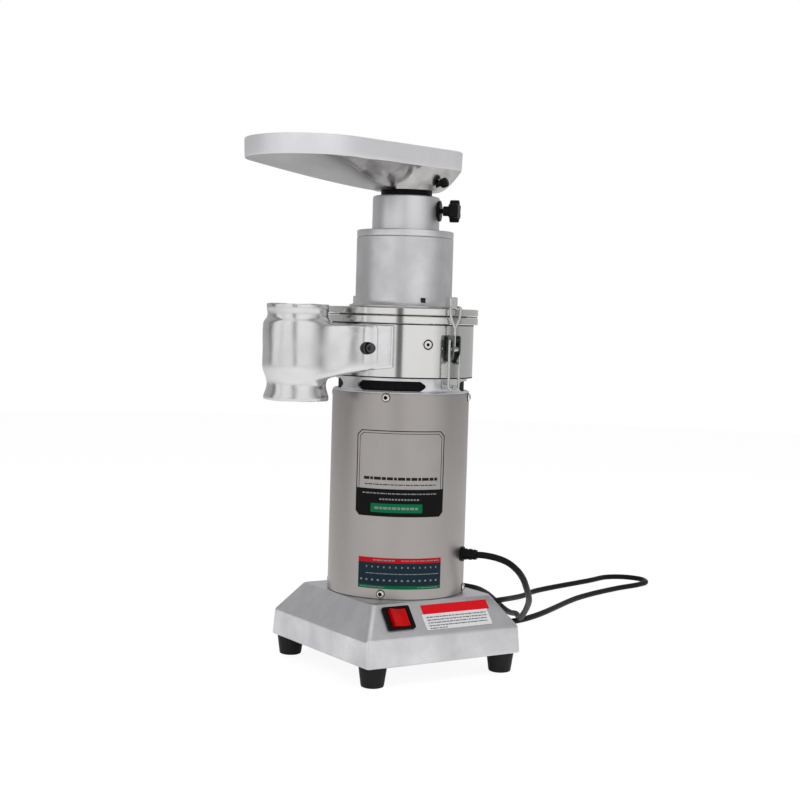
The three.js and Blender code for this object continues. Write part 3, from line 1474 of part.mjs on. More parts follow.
const plugLean = Math.hypot(plugGripLength + plugTailRadius, plugFaceRadius);
const plugTilt = Math.atan2(plugFaceRadius, plugGripLength + plugTailRadius)
  - Math.asin((plugPlace[2] - fit) / plugLean);

function makeCord() {
  const exit = polar(1, glandAngle, 0);
  const start = exit.clone().multiplyScalar(glandEnd + fit).setZ(baseTop + glandRise);
  const coil = coilPoints();
  const gap = new THREE.Vector3(fit, 0, 0);
  const run = new THREE.Vector3(cordRadius * 2, 0, 0);
  const coilStart = coil[0].clone().add(gap);
  const coilEnd = coil[coil.length - 1].clone().sub(gap);
  const lead = [
    start, start.clone().addScaledVector(exit, cordRadius * 2),
    ...cordRoute.map((point) => new THREE.Vector3(...point)),
    coilStart.clone().add(run), coilStart,
  ];
  const plugAxis = new THREE.Vector3(
    Math.cos(degrees(plugHeading)) * Math.cos(plugTilt),
    Math.sin(degrees(plugHeading)) * Math.cos(plugTilt),
    Math.sin(plugTilt),
  );
  const end = new THREE.Vector3(...plugPlace);
  const tail = [
    coilEnd, coilEnd.clone().sub(run), ...tailRoute.map((point) => new THREE.Vector3(...point)),
    end.clone().addScaledVector(plugAxis, -cordRadius * 2), end,
  ];
  add('cord', cordTube(lead, cordRadius, cordSteps, cordSides), blackRubber());
  add('cord_coil', cordTube(coil, cordRadius, coil.length - 1, coilSides), blackRubber());
  add('cord_tail', cordTube(tail, cordRadius, tailSteps, cordSides), blackRubber());
  const length = [lead, coil, tail]
    .reduce((sum, points) => sum + new THREE.CatmullRomCurve3(points, false, 'centripetal').getLength(), 0);
  console.log(`cord length ${length.toFixed(0)} mm, least gap in the coil ${coilLeastGap().toFixed(2)} mm`);
}

// Plug: a straight earthed plug lying on the rim of its face

function makePlug() {
  const body = revolve([
    [0, 0], [plugTailRadius, 0], [plugTailRadius, plugTailLength],
    [plugGripRadius, plugTailLength + plugTailRadius],
    [plugGripRadius, plugGripLength], [plugFaceRadius, plugGripLength + plugTailRadius],
    [plugFaceRadius, plugLength], [0, plugLength],
  ], hiddenSides);
  const pins = [-1, 1].map((side) => disc(
    plugPinRadius, plugLength - overrun, plugLength + plugPinLength, smallSides - 2,
  ).translate(0, side * plugPinSpacing / 2, 0));
  const plug = join(body, ...pins)
    .translate(0, 0, fit)
    .rotateY(Math.PI / 2 - plugTilt)
    .rotateZ(degrees(plugHeading))
    .translate(...plugPlace);
  add('plug', plug, blackPlastic());
}

// Assembly

const spinning = new THREE.Group();
const lifting = new THREE.Group();
const swivelling = new THREE.Group();
group.add(spinning, lifting);
lifting.add(swivelling);

makeBase();
makeSwitch();
makeSleeve();
makeBrackets();
makeMotor(spinning);
makeDrum();
makeBeaters(spinning);
makeOutlet();
makeLid();
makeFeedTube(lifting);
makeNeckKnob();
makeTray(swivelling);
makeTrayKnob(swivelling);
Object.entries(latchAngles).forEach(([name, angle]) => {
  const lever = new THREE.Group();
  const bail = new THREE.Group();
  group.add(lever);
  lever.add(bail);
  makeHook(name, angle);
  makeLink(name, angle);
  makeLever(name, angle, lever);
  makeBail(name, angle, bail);
});
makeGland();
makeCord();
makePlug();

export default group;
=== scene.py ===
import math

import bmesh
import bpy
from mathutils import Matrix, Vector, noise


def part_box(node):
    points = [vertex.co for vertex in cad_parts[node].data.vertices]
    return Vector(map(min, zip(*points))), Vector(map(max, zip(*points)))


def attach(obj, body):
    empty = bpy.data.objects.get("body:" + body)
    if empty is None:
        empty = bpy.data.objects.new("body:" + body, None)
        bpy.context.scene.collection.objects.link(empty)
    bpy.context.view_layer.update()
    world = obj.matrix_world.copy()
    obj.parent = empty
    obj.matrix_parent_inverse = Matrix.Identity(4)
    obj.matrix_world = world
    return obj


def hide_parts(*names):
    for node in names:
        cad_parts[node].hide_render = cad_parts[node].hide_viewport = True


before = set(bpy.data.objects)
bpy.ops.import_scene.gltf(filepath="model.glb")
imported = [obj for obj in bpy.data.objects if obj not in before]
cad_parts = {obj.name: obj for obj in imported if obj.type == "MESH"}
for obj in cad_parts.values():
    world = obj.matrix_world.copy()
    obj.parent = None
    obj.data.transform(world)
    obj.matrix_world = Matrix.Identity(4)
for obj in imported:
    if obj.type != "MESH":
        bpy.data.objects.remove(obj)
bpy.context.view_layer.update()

# Camera: the photograph's standpoint and lens, worked out from the outlines of the grinder's
# base, sleeve and flanges.
camera_data = bpy.data.cameras.new("camera")
camera_data.lens = 69.33
camera_data.sensor_width = 36
camera = bpy.data.objects.new("camera", camera_data)
camera.location = (-0.847134, -1.370388, 0.370689)
camera.rotation_euler = [math.radians(angle) for angle in (86.867, -1.6574, -32.938)]
bpy.context.scene.collection.objects.link(camera)
bpy.context.scene.camera = camera
bpy.context.scene.view_settings.view_transform = "Standard"

# Mains cord: 7 mm round, black rubber, in one length from the gland on the sleeve to the plug. It comes
# down in an arc, lies in loops beside and behind the base, and what is left over is wound into a coil.
axis_x = sum(corner.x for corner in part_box("sleeve")) / 2
cord_radius = 0.0035
cord_rest = 0.0036
gland_angle = math.radians(310)
gland_height = 0.122
gland_end = 0.0891
cord_route = [
    (0.0715, -0.0822, 0.120), (0.0835, -0.0866, 0.115), (0.097, -0.0855, 0.106), (0.1105, -0.079, 0.095),
    (0.125, -0.067, 0.082), (0.146, -0.045, 0.066), (0.177, -0.004, 0.048), (0.212, 0.049, 0.0255),
    (0.234, 0.084, 0.013), (0.250, 0.112, 0.0116), (0.262, 0.138, 0.0072), (0.276, 0.168, 0.0046),
    (0.329, 0.285, 0.0036), (0.336, 0.322, 0.0036), (0.323, 0.353, 0.0036), (0.293, 0.363, 0.0036),
    (0.262, 0.344, 0.0036), (0.241, 0.290, 0.0036), (0.233, 0.235, 0.0044), (0.241, 0.203, 0.0086),
    (0.262, 0.189, 0.0116), (0.288, 0.194, 0.0116), (0.321, 0.214, 0.008), (0.358, 0.238, 0.0044),
    (0.397, 0.262, 0.0037), (0.520, 0.297, 0.0036), (0.566, 0.310, 0.0036), (0.589, 0.300, 0.0036),
    (0.599, 0.277, 0.0036), (0.589, 0.254, 0.0036), (0.566, 0.243, 0.0036), (0.515, 0.232, 0.0036),
    (0.425, 0.201, 0.0036), (0.254, 0.110, 0.0036),
]
coil_place = (0.130, 0.150)
coil_radius = 0.0385
coil_pitch = 0.00765
coil_turns_per_layer = 1.5
coil_steps = 24
tail_route = [(0.098, 0.107, 0.0086), (0.070, 0.119, 0.0037)]
plug_place = Vector((axis_x + 0.050, 0.121, 0.0074))
plug_tilt = math.radians(19.1)


def put(tree, kind, feeds=None, **settings):
    """A node of this kind in the tree, with its settings made and its inputs linked or set."""
    node = tree.nodes.new(kind)
    for name, value in settings.items():
        setattr(node, name, value)
    for name, value in (feeds or {}).items():
        if isinstance(value, bpy.types.NodeSocket):
            tree.links.new(value, node.inputs[name])
        else:
            node.inputs[name].default_value = value
    return node


def reckon(tree, operation, *values, use_clamp=False):
    """What one Math node makes of the values."""
    feeds = dict(enumerate(values))
    return put(tree, "ShaderNodeMath", feeds, operation=operation, use_clamp=use_clamp).outputs[0]


def make_surface_grain():
    """Node group: large soft clouds and fine grain, as colour, roughness and height."""
    tree = bpy.data.node_groups.new("surface_grain", "ShaderNodeTree")
    floats = ("Grain Scale", "Grain", "Cloud Scale", "Clouds", "Roughness")
    tree.interface.new_socket("Color", in_out="INPUT", socket_type="NodeSocketColor")
    tree.interface.new_socket("Stretch", in_out="INPUT", socket_type="NodeSocketVector")
    for name in floats:
        tree.interface.new_socket(name, in_out="INPUT", socket_type="NodeSocketFloat")
    tree.interface.new_socket("Color", in_out="OUTPUT", socket_type="NodeSocketColor")
    for name in ("Roughness", "Height"):
        tree.interface.new_socket(name, in_out="OUTPUT", socket_type="NodeSocketFloat")
    given = put(tree, "NodeGroupInput").outputs
    place = put(tree, "ShaderNodeTexCoord").outputs["Object"]
    stretched = put(tree, "ShaderNodeVectorMath", {0: place, 1: given["Stretch"]}, operation="MULTIPLY")
    grain = put(tree, "ShaderNodeTexNoise", {
        "Vector": stretched.outputs["Vector"], "Scale": given["Grain Scale"], "Detail": 4, "Roughness": 0.6,
    }).outputs["Fac"]
    clouds = put(tree, "ShaderNodeTexNoise", {
        "Vector": place, "Scale": given["Cloud Scale"], "Detail": 3, "Roughness": 0.5,
    }).outputs["Fac"]
    uneven = [reckon(tree, "MULTIPLY", reckon(tree, "SUBTRACT", pattern, 0.5), amount)
              for pattern, amount in ((grain, given["Grain"]), (clouds, given["Clouds"]))]
    both = reckon(tree, "ADD", *uneven)
    color = put(tree, "ShaderNodeMix", {
        "Factor": 1.0, 6: given["Color"], 7: reckon(tree, "ADD", both, 1.0),
    }, data_type="RGBA", blend_type="MULTIPLY")
    rougher = reckon(tree, "MULTIPLY_ADD", both, -0.6, given["Roughness"], use_clamp=True)
    put(tree, "NodeGroupOutput", {"Color": color.outputs[2], "Roughness": rougher, "Height": grain})
    return tree


surface_grain = make_surface_grain()


def finish(name, color, roughness, metallic=0.0, stretch=(1, 1, 1), grain_scale=700, grain=0.1,
           cloud_scale=22, clouds=0.1, relief=0.0001, strength=0.3, **socket_shades):
    """A material of one colour with clouds, grain and relief; sockets go straight to its shader."""
    material = bpy.data.materials.new(name)
    material.use_nodes = True
    tree = material.node_tree
    shader = tree.nodes["Principled BSDF"]
    texture = put(tree, "ShaderNodeGroup", node_tree=surface_grain)
    values = {
        "Color": (*color, 1), "Stretch": stretch, "Grain Scale": grain_scale, "Grain": grain,
        "Cloud Scale": cloud_scale, "Clouds": clouds, "Roughness": roughness,
    }
    for socket, value in values.items():
        texture.inputs[socket].default_value = value
    bump = put(tree, "ShaderNodeBump", {
        "Height": texture.outputs["Height"], "Distance": relief, "Strength": strength,
    })
    tree.links.new(texture.outputs["Color"], shader.inputs["Base Color"])
    tree.links.new(texture.outputs["Roughness"], shader.inputs["Roughness"])
    tree.links.new(bump.outputs["Normal"], shader.inputs["Normal"])
    shader.inputs["Metallic"].default_value = metallic
    for socket, value in socket_shades.items():
        shader.inputs[socket.replace("_", " ")].default_value = value
    return material


def smooth_run(points):
    """Points along one smooth curve through the given ones, evenly eased however they are spaced."""
    ends = [points[0] * 2 - points[1], *points, points[-1] * 2 - points[-2]]
    run = []
    for before, here, there, after in zip(ends, ends[1:], ends[2:], ends[3:]):
        spans = [max((b - a).length ** 0.5, 1e-4) for a, b in ((before, here), (here, there), (there, after))]
        across, onward = spans[0] + spans[1], spans[1] + spans[2]
        middle = (there - here) / spans[1]
        leave = ((here - before) / spans[0] - (there - before) / across + middle) * spans[1]
        arrive = (middle - (after - here) / onward + (after - there) / spans[2]) * spans[1]
        for step in range(10):
            t = step / 10
            run.append(here * (2 * t**3 - 3 * t**2 + 1) + leave * (t**3 - 2 * t**2 + t)
                       + there * (3 * t**2 - 2 * t**3) + arrive * (t**3 - t**2))
    return [*run, points[-1]]


def bent_rod(name, points, radius, material, body, slot, *nodes, closed=False):
    """A round rod or wire that follows the points."""
    curve = bpy.data.curves.new(name, "CURVE")
    curve.dimensions = "3D"
    curve.bevel_depth = radius
    curve.bevel_resolution = 3
    curve.use_fill_caps = not closed
    spline = curve.splines.new("POLY")
    spline.points.add(len(points) - 1)
    for knot, point in zip(spline.points, points):
        knot.co = (*point, 1)
    spline.use_cyclic_u = closed
    spline.use_smooth = True
    curve.materials.append(material)
    obj = bpy.data.objects.new(name, curve)
    bpy.context.scene.collection.objects.link(obj)
    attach(obj, body)
    if nodes:
        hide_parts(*nodes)
    return obj


def coil_point(turn):
    inward = min(turn, coil_turns_per_layer)
    outward = max(turn - coil_turns_per_layer, 0)
    radius = coil_radius + coil_pitch * (coil_turns_per_layer / 2 - inward + outward)
    climb = min(max((turn - coil_turns_per_layer) * 2 + 0.5, 0), 1)
    angle = -math.pi / 2 - turn * math.tau
    return Vector((
        coil_place[0] + radius * math.cos(angle), coil_place[1] + radius * math.sin(angle),
        cord_rest + coil_pitch * climb,
    ))


cord_out = Vector((math.cos(gland_angle), math.sin(gland_angle), 0))
cord_exit = cord_out * gland_end + Vector((0, 0, gland_height))
straight = Vector((cord_radius * 2, 0, 0))
coil = [coil_point(i / coil_steps) for i in range(int(coil_turns_per_layer * 2 * coil_steps) + 1)]
plug_axis = Vector((-math.cos(plug_tilt), 0, math.sin(plug_tilt)))
to_axis = Vector((axis_x, 0, 0))
cord_knots = [cord_exit, cord_exit + cord_out * straight.x]
cord_knots += [Vector(point) for point in cord_route]
cord_knots += [coil[0] + straight * 2, coil[0] + straight, *coil, coil[-1] - straight,
               coil[-1] - straight * 2]
cord_knots += [Vector(point) for point in tail_route]
cord_knots += [plug_place - to_axis - plug_axis * straight.x, plug_place - to_axis]
cord_rubber = finish("cord_rubber", (0.004, 0.004, 0.005), 0.45, grain_scale=900, grain=0.15, clouds=0.2,
                     Specular_IOR_Level=0.12)
cord = bent_rod("cord_lead", smooth_run([knot + to_axis for knot in cord_knots]), cord_radius, cord_rubber,
                "root", "cord_rubber", "cord", "cord_coil", "cord_tail")

# Plug: a straight two-pin plug moulded on to the cord's end, black, with finger ribs on its grip and
# nickel pins; it lies tilted on the rim of its face.
plug_profile = [
    (0, 0), (0.0046, 0), (0.0054, 0.0012), (0.0054, 0.010), (0.0092, 0.0142), (0.013, 0.0166),
    (0.013, 0.024), (0.0152, 0.0285), (0.0184, 0.0314), (0.0184, 0.0428), (0.0172, 0.044), (0, 0.044),
]
plug_face = 0.044
plug_pin_radius = 0.0024
plug_pin_length = 0.019
plug_pin_spacing = 0.019
plug_rib_heights = [0.0162 + 0.0024 * i for i in range(4)]


def shift(x, y, z):
    return Matrix.Translation((x, y, z))


def swing(angle, axis):
    return Matrix.Rotation(angle, 4, axis)


def face_outwards(bm):
    """Turn a closed shape's faces outwards; a long bent one can come out turned in."""
    bmesh.ops.recalc_face_normals(bm, faces=bm.faces)
    if bm.calc_volume(signed=True) < 0:
        bmesh.ops.reverse_faces(bm, faces=bm.faces)
    return bm


def lathe(profile, steps=96, closed=False):
    """Points of radius and height, turned once round the z axis."""
    bm = bmesh.new()
    verts = [bm.verts.new((radius, 0, height)) for radius, height in profile]
    edges = [bm.edges.new(pair) for pair in zip(verts, verts[1:])]
    if closed:
        edges.append(bm.edges.new((verts[-1], verts[0])))
    bmesh.ops.spin(bm, geom=verts + edges, cent=(0, 0, 0), axis=(0, 0, 1), dvec=(0, 0, 0), angle=math.tau,
                   steps=steps, use_merge=True, use_duplicate=False)
    bmesh.ops.remove_doubles(bm, verts=bm.verts, dist=1e-6)
    return face_outwards(bm)


def rod_between(low, high, radius, steps):
    """A plain round rod on the z axis, or one of six sides."""
    return lathe([(0, low), (radius, low), (radius, high), (0, high)], steps)


def add_to(bm, other, matrix=None):
    """The other shape, moved by the matrix, taken into bm."""
    other.transform(matrix or Matrix())
    mesh = bpy.data.meshes.new("work")
    other.to_mesh(mesh)
    other.free()
    bm.from_mesh(mesh)
    bpy.data.meshes.remove(mesh)


def settle(bm, name, body, material, slot, *nodes, soften=0.0, segments=2, sharp=35):
    """The finished shape as a piece of the grinder, its edges softened or kept sharp."""
    mesh = bpy.data.meshes.new(name)
    bm.to_mesh(mesh)
    bm.free()
    mesh.materials.append(material)
    mesh.shade_smooth()
    obj = bpy.data.objects.new(name, mesh)
    bpy.context.scene.collection.objects.link(obj)
    if soften:
        bevel = obj.modifiers.new("soften", "BEVEL")
        bevel.width = soften
        bevel.segments = segments
        bevel.limit_method = "ANGLE"
        bevel.angle_limit = math.radians(sharp)
        bevel.harden_normals = True
    else:
        mesh.set_sharp_from_angle(angle=math.radians(sharp))
    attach(obj, body)
    if nodes:
        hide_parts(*nodes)
    return obj


plug_frame = (shift(*plug_place) @ swing(math.pi, "Z") @ swing(math.pi / 2 - plug_tilt, "Y")
              @ shift(0, 0, 0.0003))
plug_body = lathe(plug_profile, 64)
for height in plug_rib_heights:
    add_to(plug_body, lathe([
        (0.0128, height), (0.0136, height + 0.0004), (0.0136, height + 0.001), (0.0128, height + 0.0014),
    ], 48, closed=True))
plug_body.transform(plug_frame)
plastic_black = finish("plug_black", (0.003, 0.003, 0.0035), 0.38, grain_scale=1500, grain=0.2, clouds=0.2,
                       Specular_IOR_Level=0.12)
plug = settle(plug_body, "plug_body", "root", plastic_black, "black_plastic", "plug", sharp=28)
pins = bmesh.new()
for side in (-1, 1):
    add_to(pins, lathe([
        (0, -0.002), (plug_pin_radius, -0.002), (plug_pin_radius, plug_pin_length - 0.0012),
        (plug_pin_radius - 0.0008, plug_pin_length - 0.0003), (0, plug_pin_length),
    ], 24), shift(0, side * plug_pin_spacing / 2, plug_face))
pins.transform(plug_frame)
nickel = finish("plug_nickel", (0.62, 0.60, 0.56), 0.22, 1.0, grain=0.1)
plug_pins = settle(pins, "plug_pins", "root", nickel, "bright_steel", sharp=28)

# Floor and light: a white studio sweep, with tall white cards round the grinder and dark gaps between
# them, which the turned metal shows as upright bands; two soft lamps from the front and above.
floor_radius = 4.0
floor_in_view, floor_in_metal = 0.86, 0.2
studio_level = 0.62
floor_bm = bmesh.new()
bmesh.ops.create_circle(floor_bm, cap_ends=True, segments=96, radius=floor_radius)
floor_mesh = bpy.data.meshes.new("floor")
floor_bm.to_mesh(floor_mesh)
floor_bm.free()
floor = bpy.data.objects.new("floor", floor_mesh)
bpy.context.scene.collection.objects.link(floor)


def looked_through(tree, seen):
    """1 for what the camera sees, straight or through glass."""
    return reckon(tree, "MAXIMUM", seen["Is Camera Ray"], seen["Is Transmission Ray"])


def make_floor_paper():
    material = bpy.data.materials.new("floor_paper")
    material.use_nodes = True
    tree = material.node_tree
    tree.nodes.remove(tree.nodes["Principled BSDF"])
    seen = put(tree, "ShaderNodeLightPath").outputs
    fibre = put(tree, "ShaderNodeTexNoise", {
        "Vector": put(tree, "ShaderNodeTexCoord").outputs["Object"], "Scale": 400, "Detail": 3,
    })
    tint = put(tree, "ShaderNodeMapRange", {"Value": fibre.outputs["Fac"], "To Min": 0.80, "To Max": 0.84})
    paper = put(tree, "ShaderNodeBsdfDiffuse", {"Color": tint.outputs["Result"]})
    glow = put(tree, "ShaderNodeEmission", {"Color": (1, 1, 1, 1), "Strength": 1.06})
    faint = reckon(tree, "MULTIPLY", seen["Is Glossy Ray"], floor_in_metal)
    share = reckon(tree, "MULTIPLY_ADD", looked_through(tree, seen), floor_in_view, faint)
    mixed = put(tree, "ShaderNodeMixShader", {0: share, 1: paper.outputs[0], 2: glow.outputs[0]})
    tree.links.new(mixed.outputs[0], tree.nodes["Material Output"].inputs["Surface"])
    return material


floor_mesh.materials.append(make_floor_paper())

studio_cards = [
    (0.0, 0.62), (0.04, 0.95), (0.128, 0.97), (0.136, 0.16), (0.158, 0.12), (0.161, 1.0), (0.30, 0.97),
    (0.345, 0.66), (0.375, 0.55), (0.395, 0.28), (0.42, 0.28), (0.45, 0.48), (0.60, 0.52), (0.80, 0.42),
    (0.865, 0.40), (0.88, 0.15), (0.915, 0.16), (0.935, 0.92), (0.99, 0.95),
]


def make_world():
    world = bpy.data.worlds.new("studio")
    bpy.context.scene.world = world
    world.use_nodes = True
    tree = world.node_tree
    tree.nodes.clear()
    way = put(tree, "ShaderNodeTexCoord").outputs["Generated"]
    round_about = put(tree, "ShaderNodeTexGradient", {"Vector": way}, gradient_type="RADIAL")
    cards = put(tree, "ShaderNodeValToRGB", {"Fac": round_about.outputs["Fac"]})
    stops = cards.color_ramp.elements
    while len(stops) > 1:
        stops.remove(stops[-1])
    for i, (share, level) in enumerate(studio_cards):
        stop = stops[0] if i == 0 else stops.new(share)
        stop.position = share
        stop.color = (level, level, level * 1.01, 1)
    seen = put(tree, "ShaderNodeLightPath").outputs
    plain = put(tree, "ShaderNodeBackground", {"Color": (1, 1, 1, 1), "Strength": studio_level})
    banded = put(tree, "ShaderNodeBackground", {"Color": cards.outputs["Color"], "Strength": 1.0})
    white = put(tree, "ShaderNodeBackground", {"Color": (1, 1, 1, 1), "Strength": 1.0})
    shiny = put(tree, "ShaderNodeMixShader", {
        0: seen["Is Glossy Ray"], 1: plain.outputs[0], 2: banded.outputs[0],
    })
    all_rays = put(tree, "ShaderNodeMixShader", {
        0: looked_through(tree, seen), 1: shiny.outputs[0], 2: white.outputs[0],
    })
    put(tree, "ShaderNodeOutputWorld", {"Surface": all_rays.outputs[0]})


make_world()
for name, place, size, watts in (
    ("lamp_front", (-1.3, -1.2, 1.5), 1.3, 17), ("lamp_top", (0.3, -0.2, 2.0), 1.5, 12),
    ("lamp_right", (1.5, -0.9, 0.9), 1.0, 5),
):
    lamp_data = bpy.data.lights.new(name, "AREA")
    lamp_data.size = size
    lamp_data.energy = watts
    lamp = bpy.data.objects.new(name, lamp_data)
    lamp.location = place
    aim = Vector((axis_x, 0, 0.25)) - Vector(place)
    lamp.rotation_euler = aim.to_track_quat("-Z", "Y").to_euler()
    lamp.visible_glossy = False
    bpy.context.scene.collection.objects.link(lamp)

# Feet: four tapered black rubber buffers under the base's corners, hollow below for their screws.
rubber_black = finish("foot_rubber", (0.007, 0.007, 0.008), 0.55, grain_scale=1100, grain=0.3, clouds=0.25,
                      relief=0.0002, Specular_IOR_Level=0.25)
foot_profile = [
    (0.0055, 0), (0.0098, 0), (0.0112, 0.0006), (0.0118, 0.0018), (0.0143, 0.0197), (0.0141, 0.0204),
    (0.0136, 0.0207), (0.0032, 0.0207), (0.0032, 0.008), (0.0055, 0.008),
]
for name in ("front_left", "front_right", "back_left", "back_right"):
    low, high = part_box(f"foot_{name}")
    foot = lathe(foot_profile, 64, closed=True)
    foot.transform(shift((low.x + high.x) / 2, (low.y + high.y) / 2, 0))
    settle(foot, f"rubber_foot_{name}", "root", rubber_black, "black_rubber", f"foot_{name}")

# Base: one bevelled box casting, hollow below, ground and left bare; its skirt draws in a little and
# four slopes rise from it to the flat that the sleeve stands on. The switch sits in the front slope.
base_low, base_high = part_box("base_casting")
skirt_top = 0.049
skirt_draft = Vector((0.001, 0.003))
top_half = Vector((0.0732, 0.0723))
base_corner = 0.005
base_wall = 0.004
slope_run = (base_high.y - skirt_draft.y) - top_half.y
slope_rise = base_high.z - skirt_top
slope_length = math.hypot(slope_run, slope_rise)
slope_angle = math.atan2(slope_rise, slope_run)
slope_foot = shift(axis_x, base_low.y + skirt_draft.y, skirt_top) @ swing(slope_angle, "X")
switch_x = -0.0498
switch_rise_share = 0.55
switch_body = Vector((0.028, 0.022))
switch_play = 0.0006
switch_seat = slope_foot @ shift(switch_x, slope_length * switch_rise_share, 0)
cast_aluminium = finish("cast_aluminium", (0.71, 0.705, 0.725), 0.34, 0.95, grain_scale=800, grain=0.14,
                        cloud_scale=30, clouds=0.55, relief=0.0002, strength=0.4)


def worked(bm, kind, **settings):
    """The shape after one modifier."""
    mesh = bpy.data.meshes.new("work")
    bm.to_mesh(mesh)
    bm.free()
    obj = bpy.data.objects.new("work", mesh)
    bpy.context.scene.collection.objects.link(obj)
    change = obj.modifiers.new("change", kind)
    for name, value in settings.items():
        setattr(change, name, value)
    result = bmesh.new()
    result.from_object(obj, bpy.context.evaluated_depsgraph_get())
    bpy.data.objects.remove(obj)
    bpy.data.meshes.remove(mesh)
    return result


def combine(bm, other, operation="DIFFERENCE"):
    """The shape with the other one cut from it or joined to it."""
    mesh = bpy.data.meshes.new("tool")
    other.to_mesh(mesh)
    other.free()
    tool = bpy.data.objects.new("tool", mesh)
    bpy.context.scene.collection.objects.link(tool)
    result = worked(bm, "BOOLEAN", object=tool, operation=operation, solver="EXACT")
    bpy.data.objects.remove(tool)
    bpy.data.meshes.remove(mesh)
    return result


def block(size, matrix=None):
    """A box of this size about its own middle."""
    bm = bmesh.new()
    bmesh.ops.create_cube(bm, size=1)
    bmesh.ops.scale(bm, vec=size, verts=bm.verts)
    bm.transform(matrix or Matrix())
    return bm


def raised(bm, faces, **settings):
    """The new vertices when the faces are drawn out into a block."""
    grown = bmesh.ops.extrude_face_region(bm, geom=faces, **settings)["geom"]
    return [item for item in grown if isinstance(item, bmesh.types.BMVert)]


def span(edge, axis):
    """How far an edge runs along x, y or z, counted 0, 1, 2."""
    return abs(edge.verts[0].co[axis] - edge.verts[1].co[axis])


def bevelled(bm, edges, width, segments):
    bmesh.ops.bevel(bm, geom=edges, offset=width, offset_type="OFFSET", affect="EDGES", segments=segments,
                    profile=0.5, material=-1, clamp_overlap=True)


def drop_level_faces(bm, height):
    """Open a shape at this height."""
    flat = [face for face in bm.faces if abs(face.calc_center_median().z - height) < 1e-5]
    bmesh.ops.delete(bm, geom=flat, context="FACES_ONLY")


base = bmesh.new()
bmesh.ops.create_grid(base, x_segments=1, y_segments=1, size=1)
half = Vector((base_high.x - axis_x, base_high.y))
for level, (height, spread) in enumerate((
    (base_low.z, half), (skirt_top, half - skirt_draft), (base_high.z, top_half),
)):
    if level:
        verts = raised(base, [max(base.faces, key=lambda face: face.calc_center_median().z)])
    else:
        verts = base.verts[:]
    for vert in verts:
        vert.co = (math.copysign(spread.x, vert.co.x), math.copysign(spread.y, vert.co.y), height)
drop_level_faces(base, skirt_top)
base.transform(shift(axis_x, 0, 0))
face_outwards(base)
bevelled(base, [edge for edge in base.edges if span(edge, 2) > 0.001], base_corner, 5)
drop_level_faces(base, base_low.z)
base = worked(base, "SOLIDIFY", thickness=base_wall, offset=-1)
base = combine(base, block((switch_body.x + switch_play, switch_body.y + switch_play, 0.03), switch_seat))
settle(base, "base_shell", "root", cast_aluminium, "cast_aluminium", "base_casting", soften=0.0016,
       segments=3, sharp=24)

# Switch: a snap-in appliance rocker. Its black nylon housing has a raised frame on the slope, and the
# red rocker, half see-through on the real switch but drawn here in solid red, tips across the slope on its
# pivot.
bezel_size = Vector((0.0323, 0.026, 0.002))
bezel_corner = 0.002
switch_depth = 0.019
rocker_size = 0.020
rocker_clearance = 0.0015
rocker_crown = 0.0020
rocker_dip = 0.0014
rocker_pivot = 0.003
rocker_tilt = math.radians(9)
nylon_black = finish("switch_nylon", (0.003, 0.003, 0.0035), 0.40, grain_scale=1300, grain=0.2, clouds=0.15,
                     Specular_IOR_Level=0.10)
rocker_red = finish("rocker_red", (0.42, 0.0012, 0.0012), 0.20, grain_scale=300, grain=0.1, cloud_scale=90,
                    clouds=0.7, relief=0.00003, Specular_IOR_Level=0.12)
bezel = block(bezel_size, shift(0, 0, 0.0003 + bezel_size.z / 2))
bevelled(bezel, [edge for edge in bezel.edges if span(edge, 2) > 0.001], bezel_corner, 4)
body = block((*switch_body, switch_depth), shift(0, 0, bezel_size.z - switch_depth / 2 - 0.0002))
bezel = combine(bezel, body, "UNION")
well = block((rocker_size + rocker_clearance * 2, rocker_size + switch_play, 0.02), shift(0, 0, 0.003))
bezel = combine(bezel, well)
bezel.transform(switch_seat)
settle(bezel, "switch_frame", "root", nylon_black, "black_plastic", "switch_housing", soften=0.0005, sharp=30)
rocker = bmesh.new()
bmesh.ops.create_grid(rocker, x_segments=16, y_segments=1, size=rocker_size / 2)
for vert in rocker.verts:
    bow = (vert.co.x / (rocker_size / 2)) ** 2
    vert.co.z = bezel_size.z + rocker_crown - rocker_dip * (1 - bow)
for vert in raised(rocker, rocker.faces[:], use_keep_orig=True):
    wedge = 1 - abs(vert.co.x) / (rocker_size / 2)
    vert.co.z = -rocker_pivot / 2 - rocker_pivot * 1.4 * wedge
face_outwards(rocker)
rocker.transform(switch_seat @ shift(0, 0, -rocker_pivot) @ swing(rocker_tilt, "Y")
                 @ shift(0, 0, rocker_pivot))
settle(rocker, "rocker_cap", "rocker", rocker_red, "red_plastic", "switch_rocker", soften=0.0007, segments=3,
       sharp=40)

# Panel on the slope: a thin printed plate beside the switch, with a red band over a pale field that is
# ruled with rows of short dashes.
panel_plates = {
    "panel_red": (-0.0185, 0.064, 0.0235, 0.0342, 0.00022, (0.56, 0.004, 0.010)),
    "panel_pale": (-0.021, 0.061, 0.0055, 0.0236, 0.00020, (0.58, 0.58, 0.59)),
}
panel_rows = ((0.0198, 0.0584), (0.0166, 0.0576), (0.0134, 0.0570), (0.0102, 0.0562), (0.0072, 0.0050))
panel_row_start = -0.0165
dash_lengths = (0.0031, 0.0044, 0.0018, 0.0037, 0.0026, 0.0050, 0.0014, 0.0033)


def printed(name, color, metallic=0.0):
    return finish(name, color, 0.42, metallic, grain_scale=1200, grain=0.1, cloud_scale=40, clouds=0.12,
                  relief=0.00003, Specular_IOR_Level=0.08)


def dashes(start, end, gap, lengths):
    """Where the dashes of one row start and end."""
    row, at = [], start
    while at < end:
        row.append((at, min(at + lengths[len(row) % len(lengths)], end)))
        at = row[-1][1] + gap
    return row


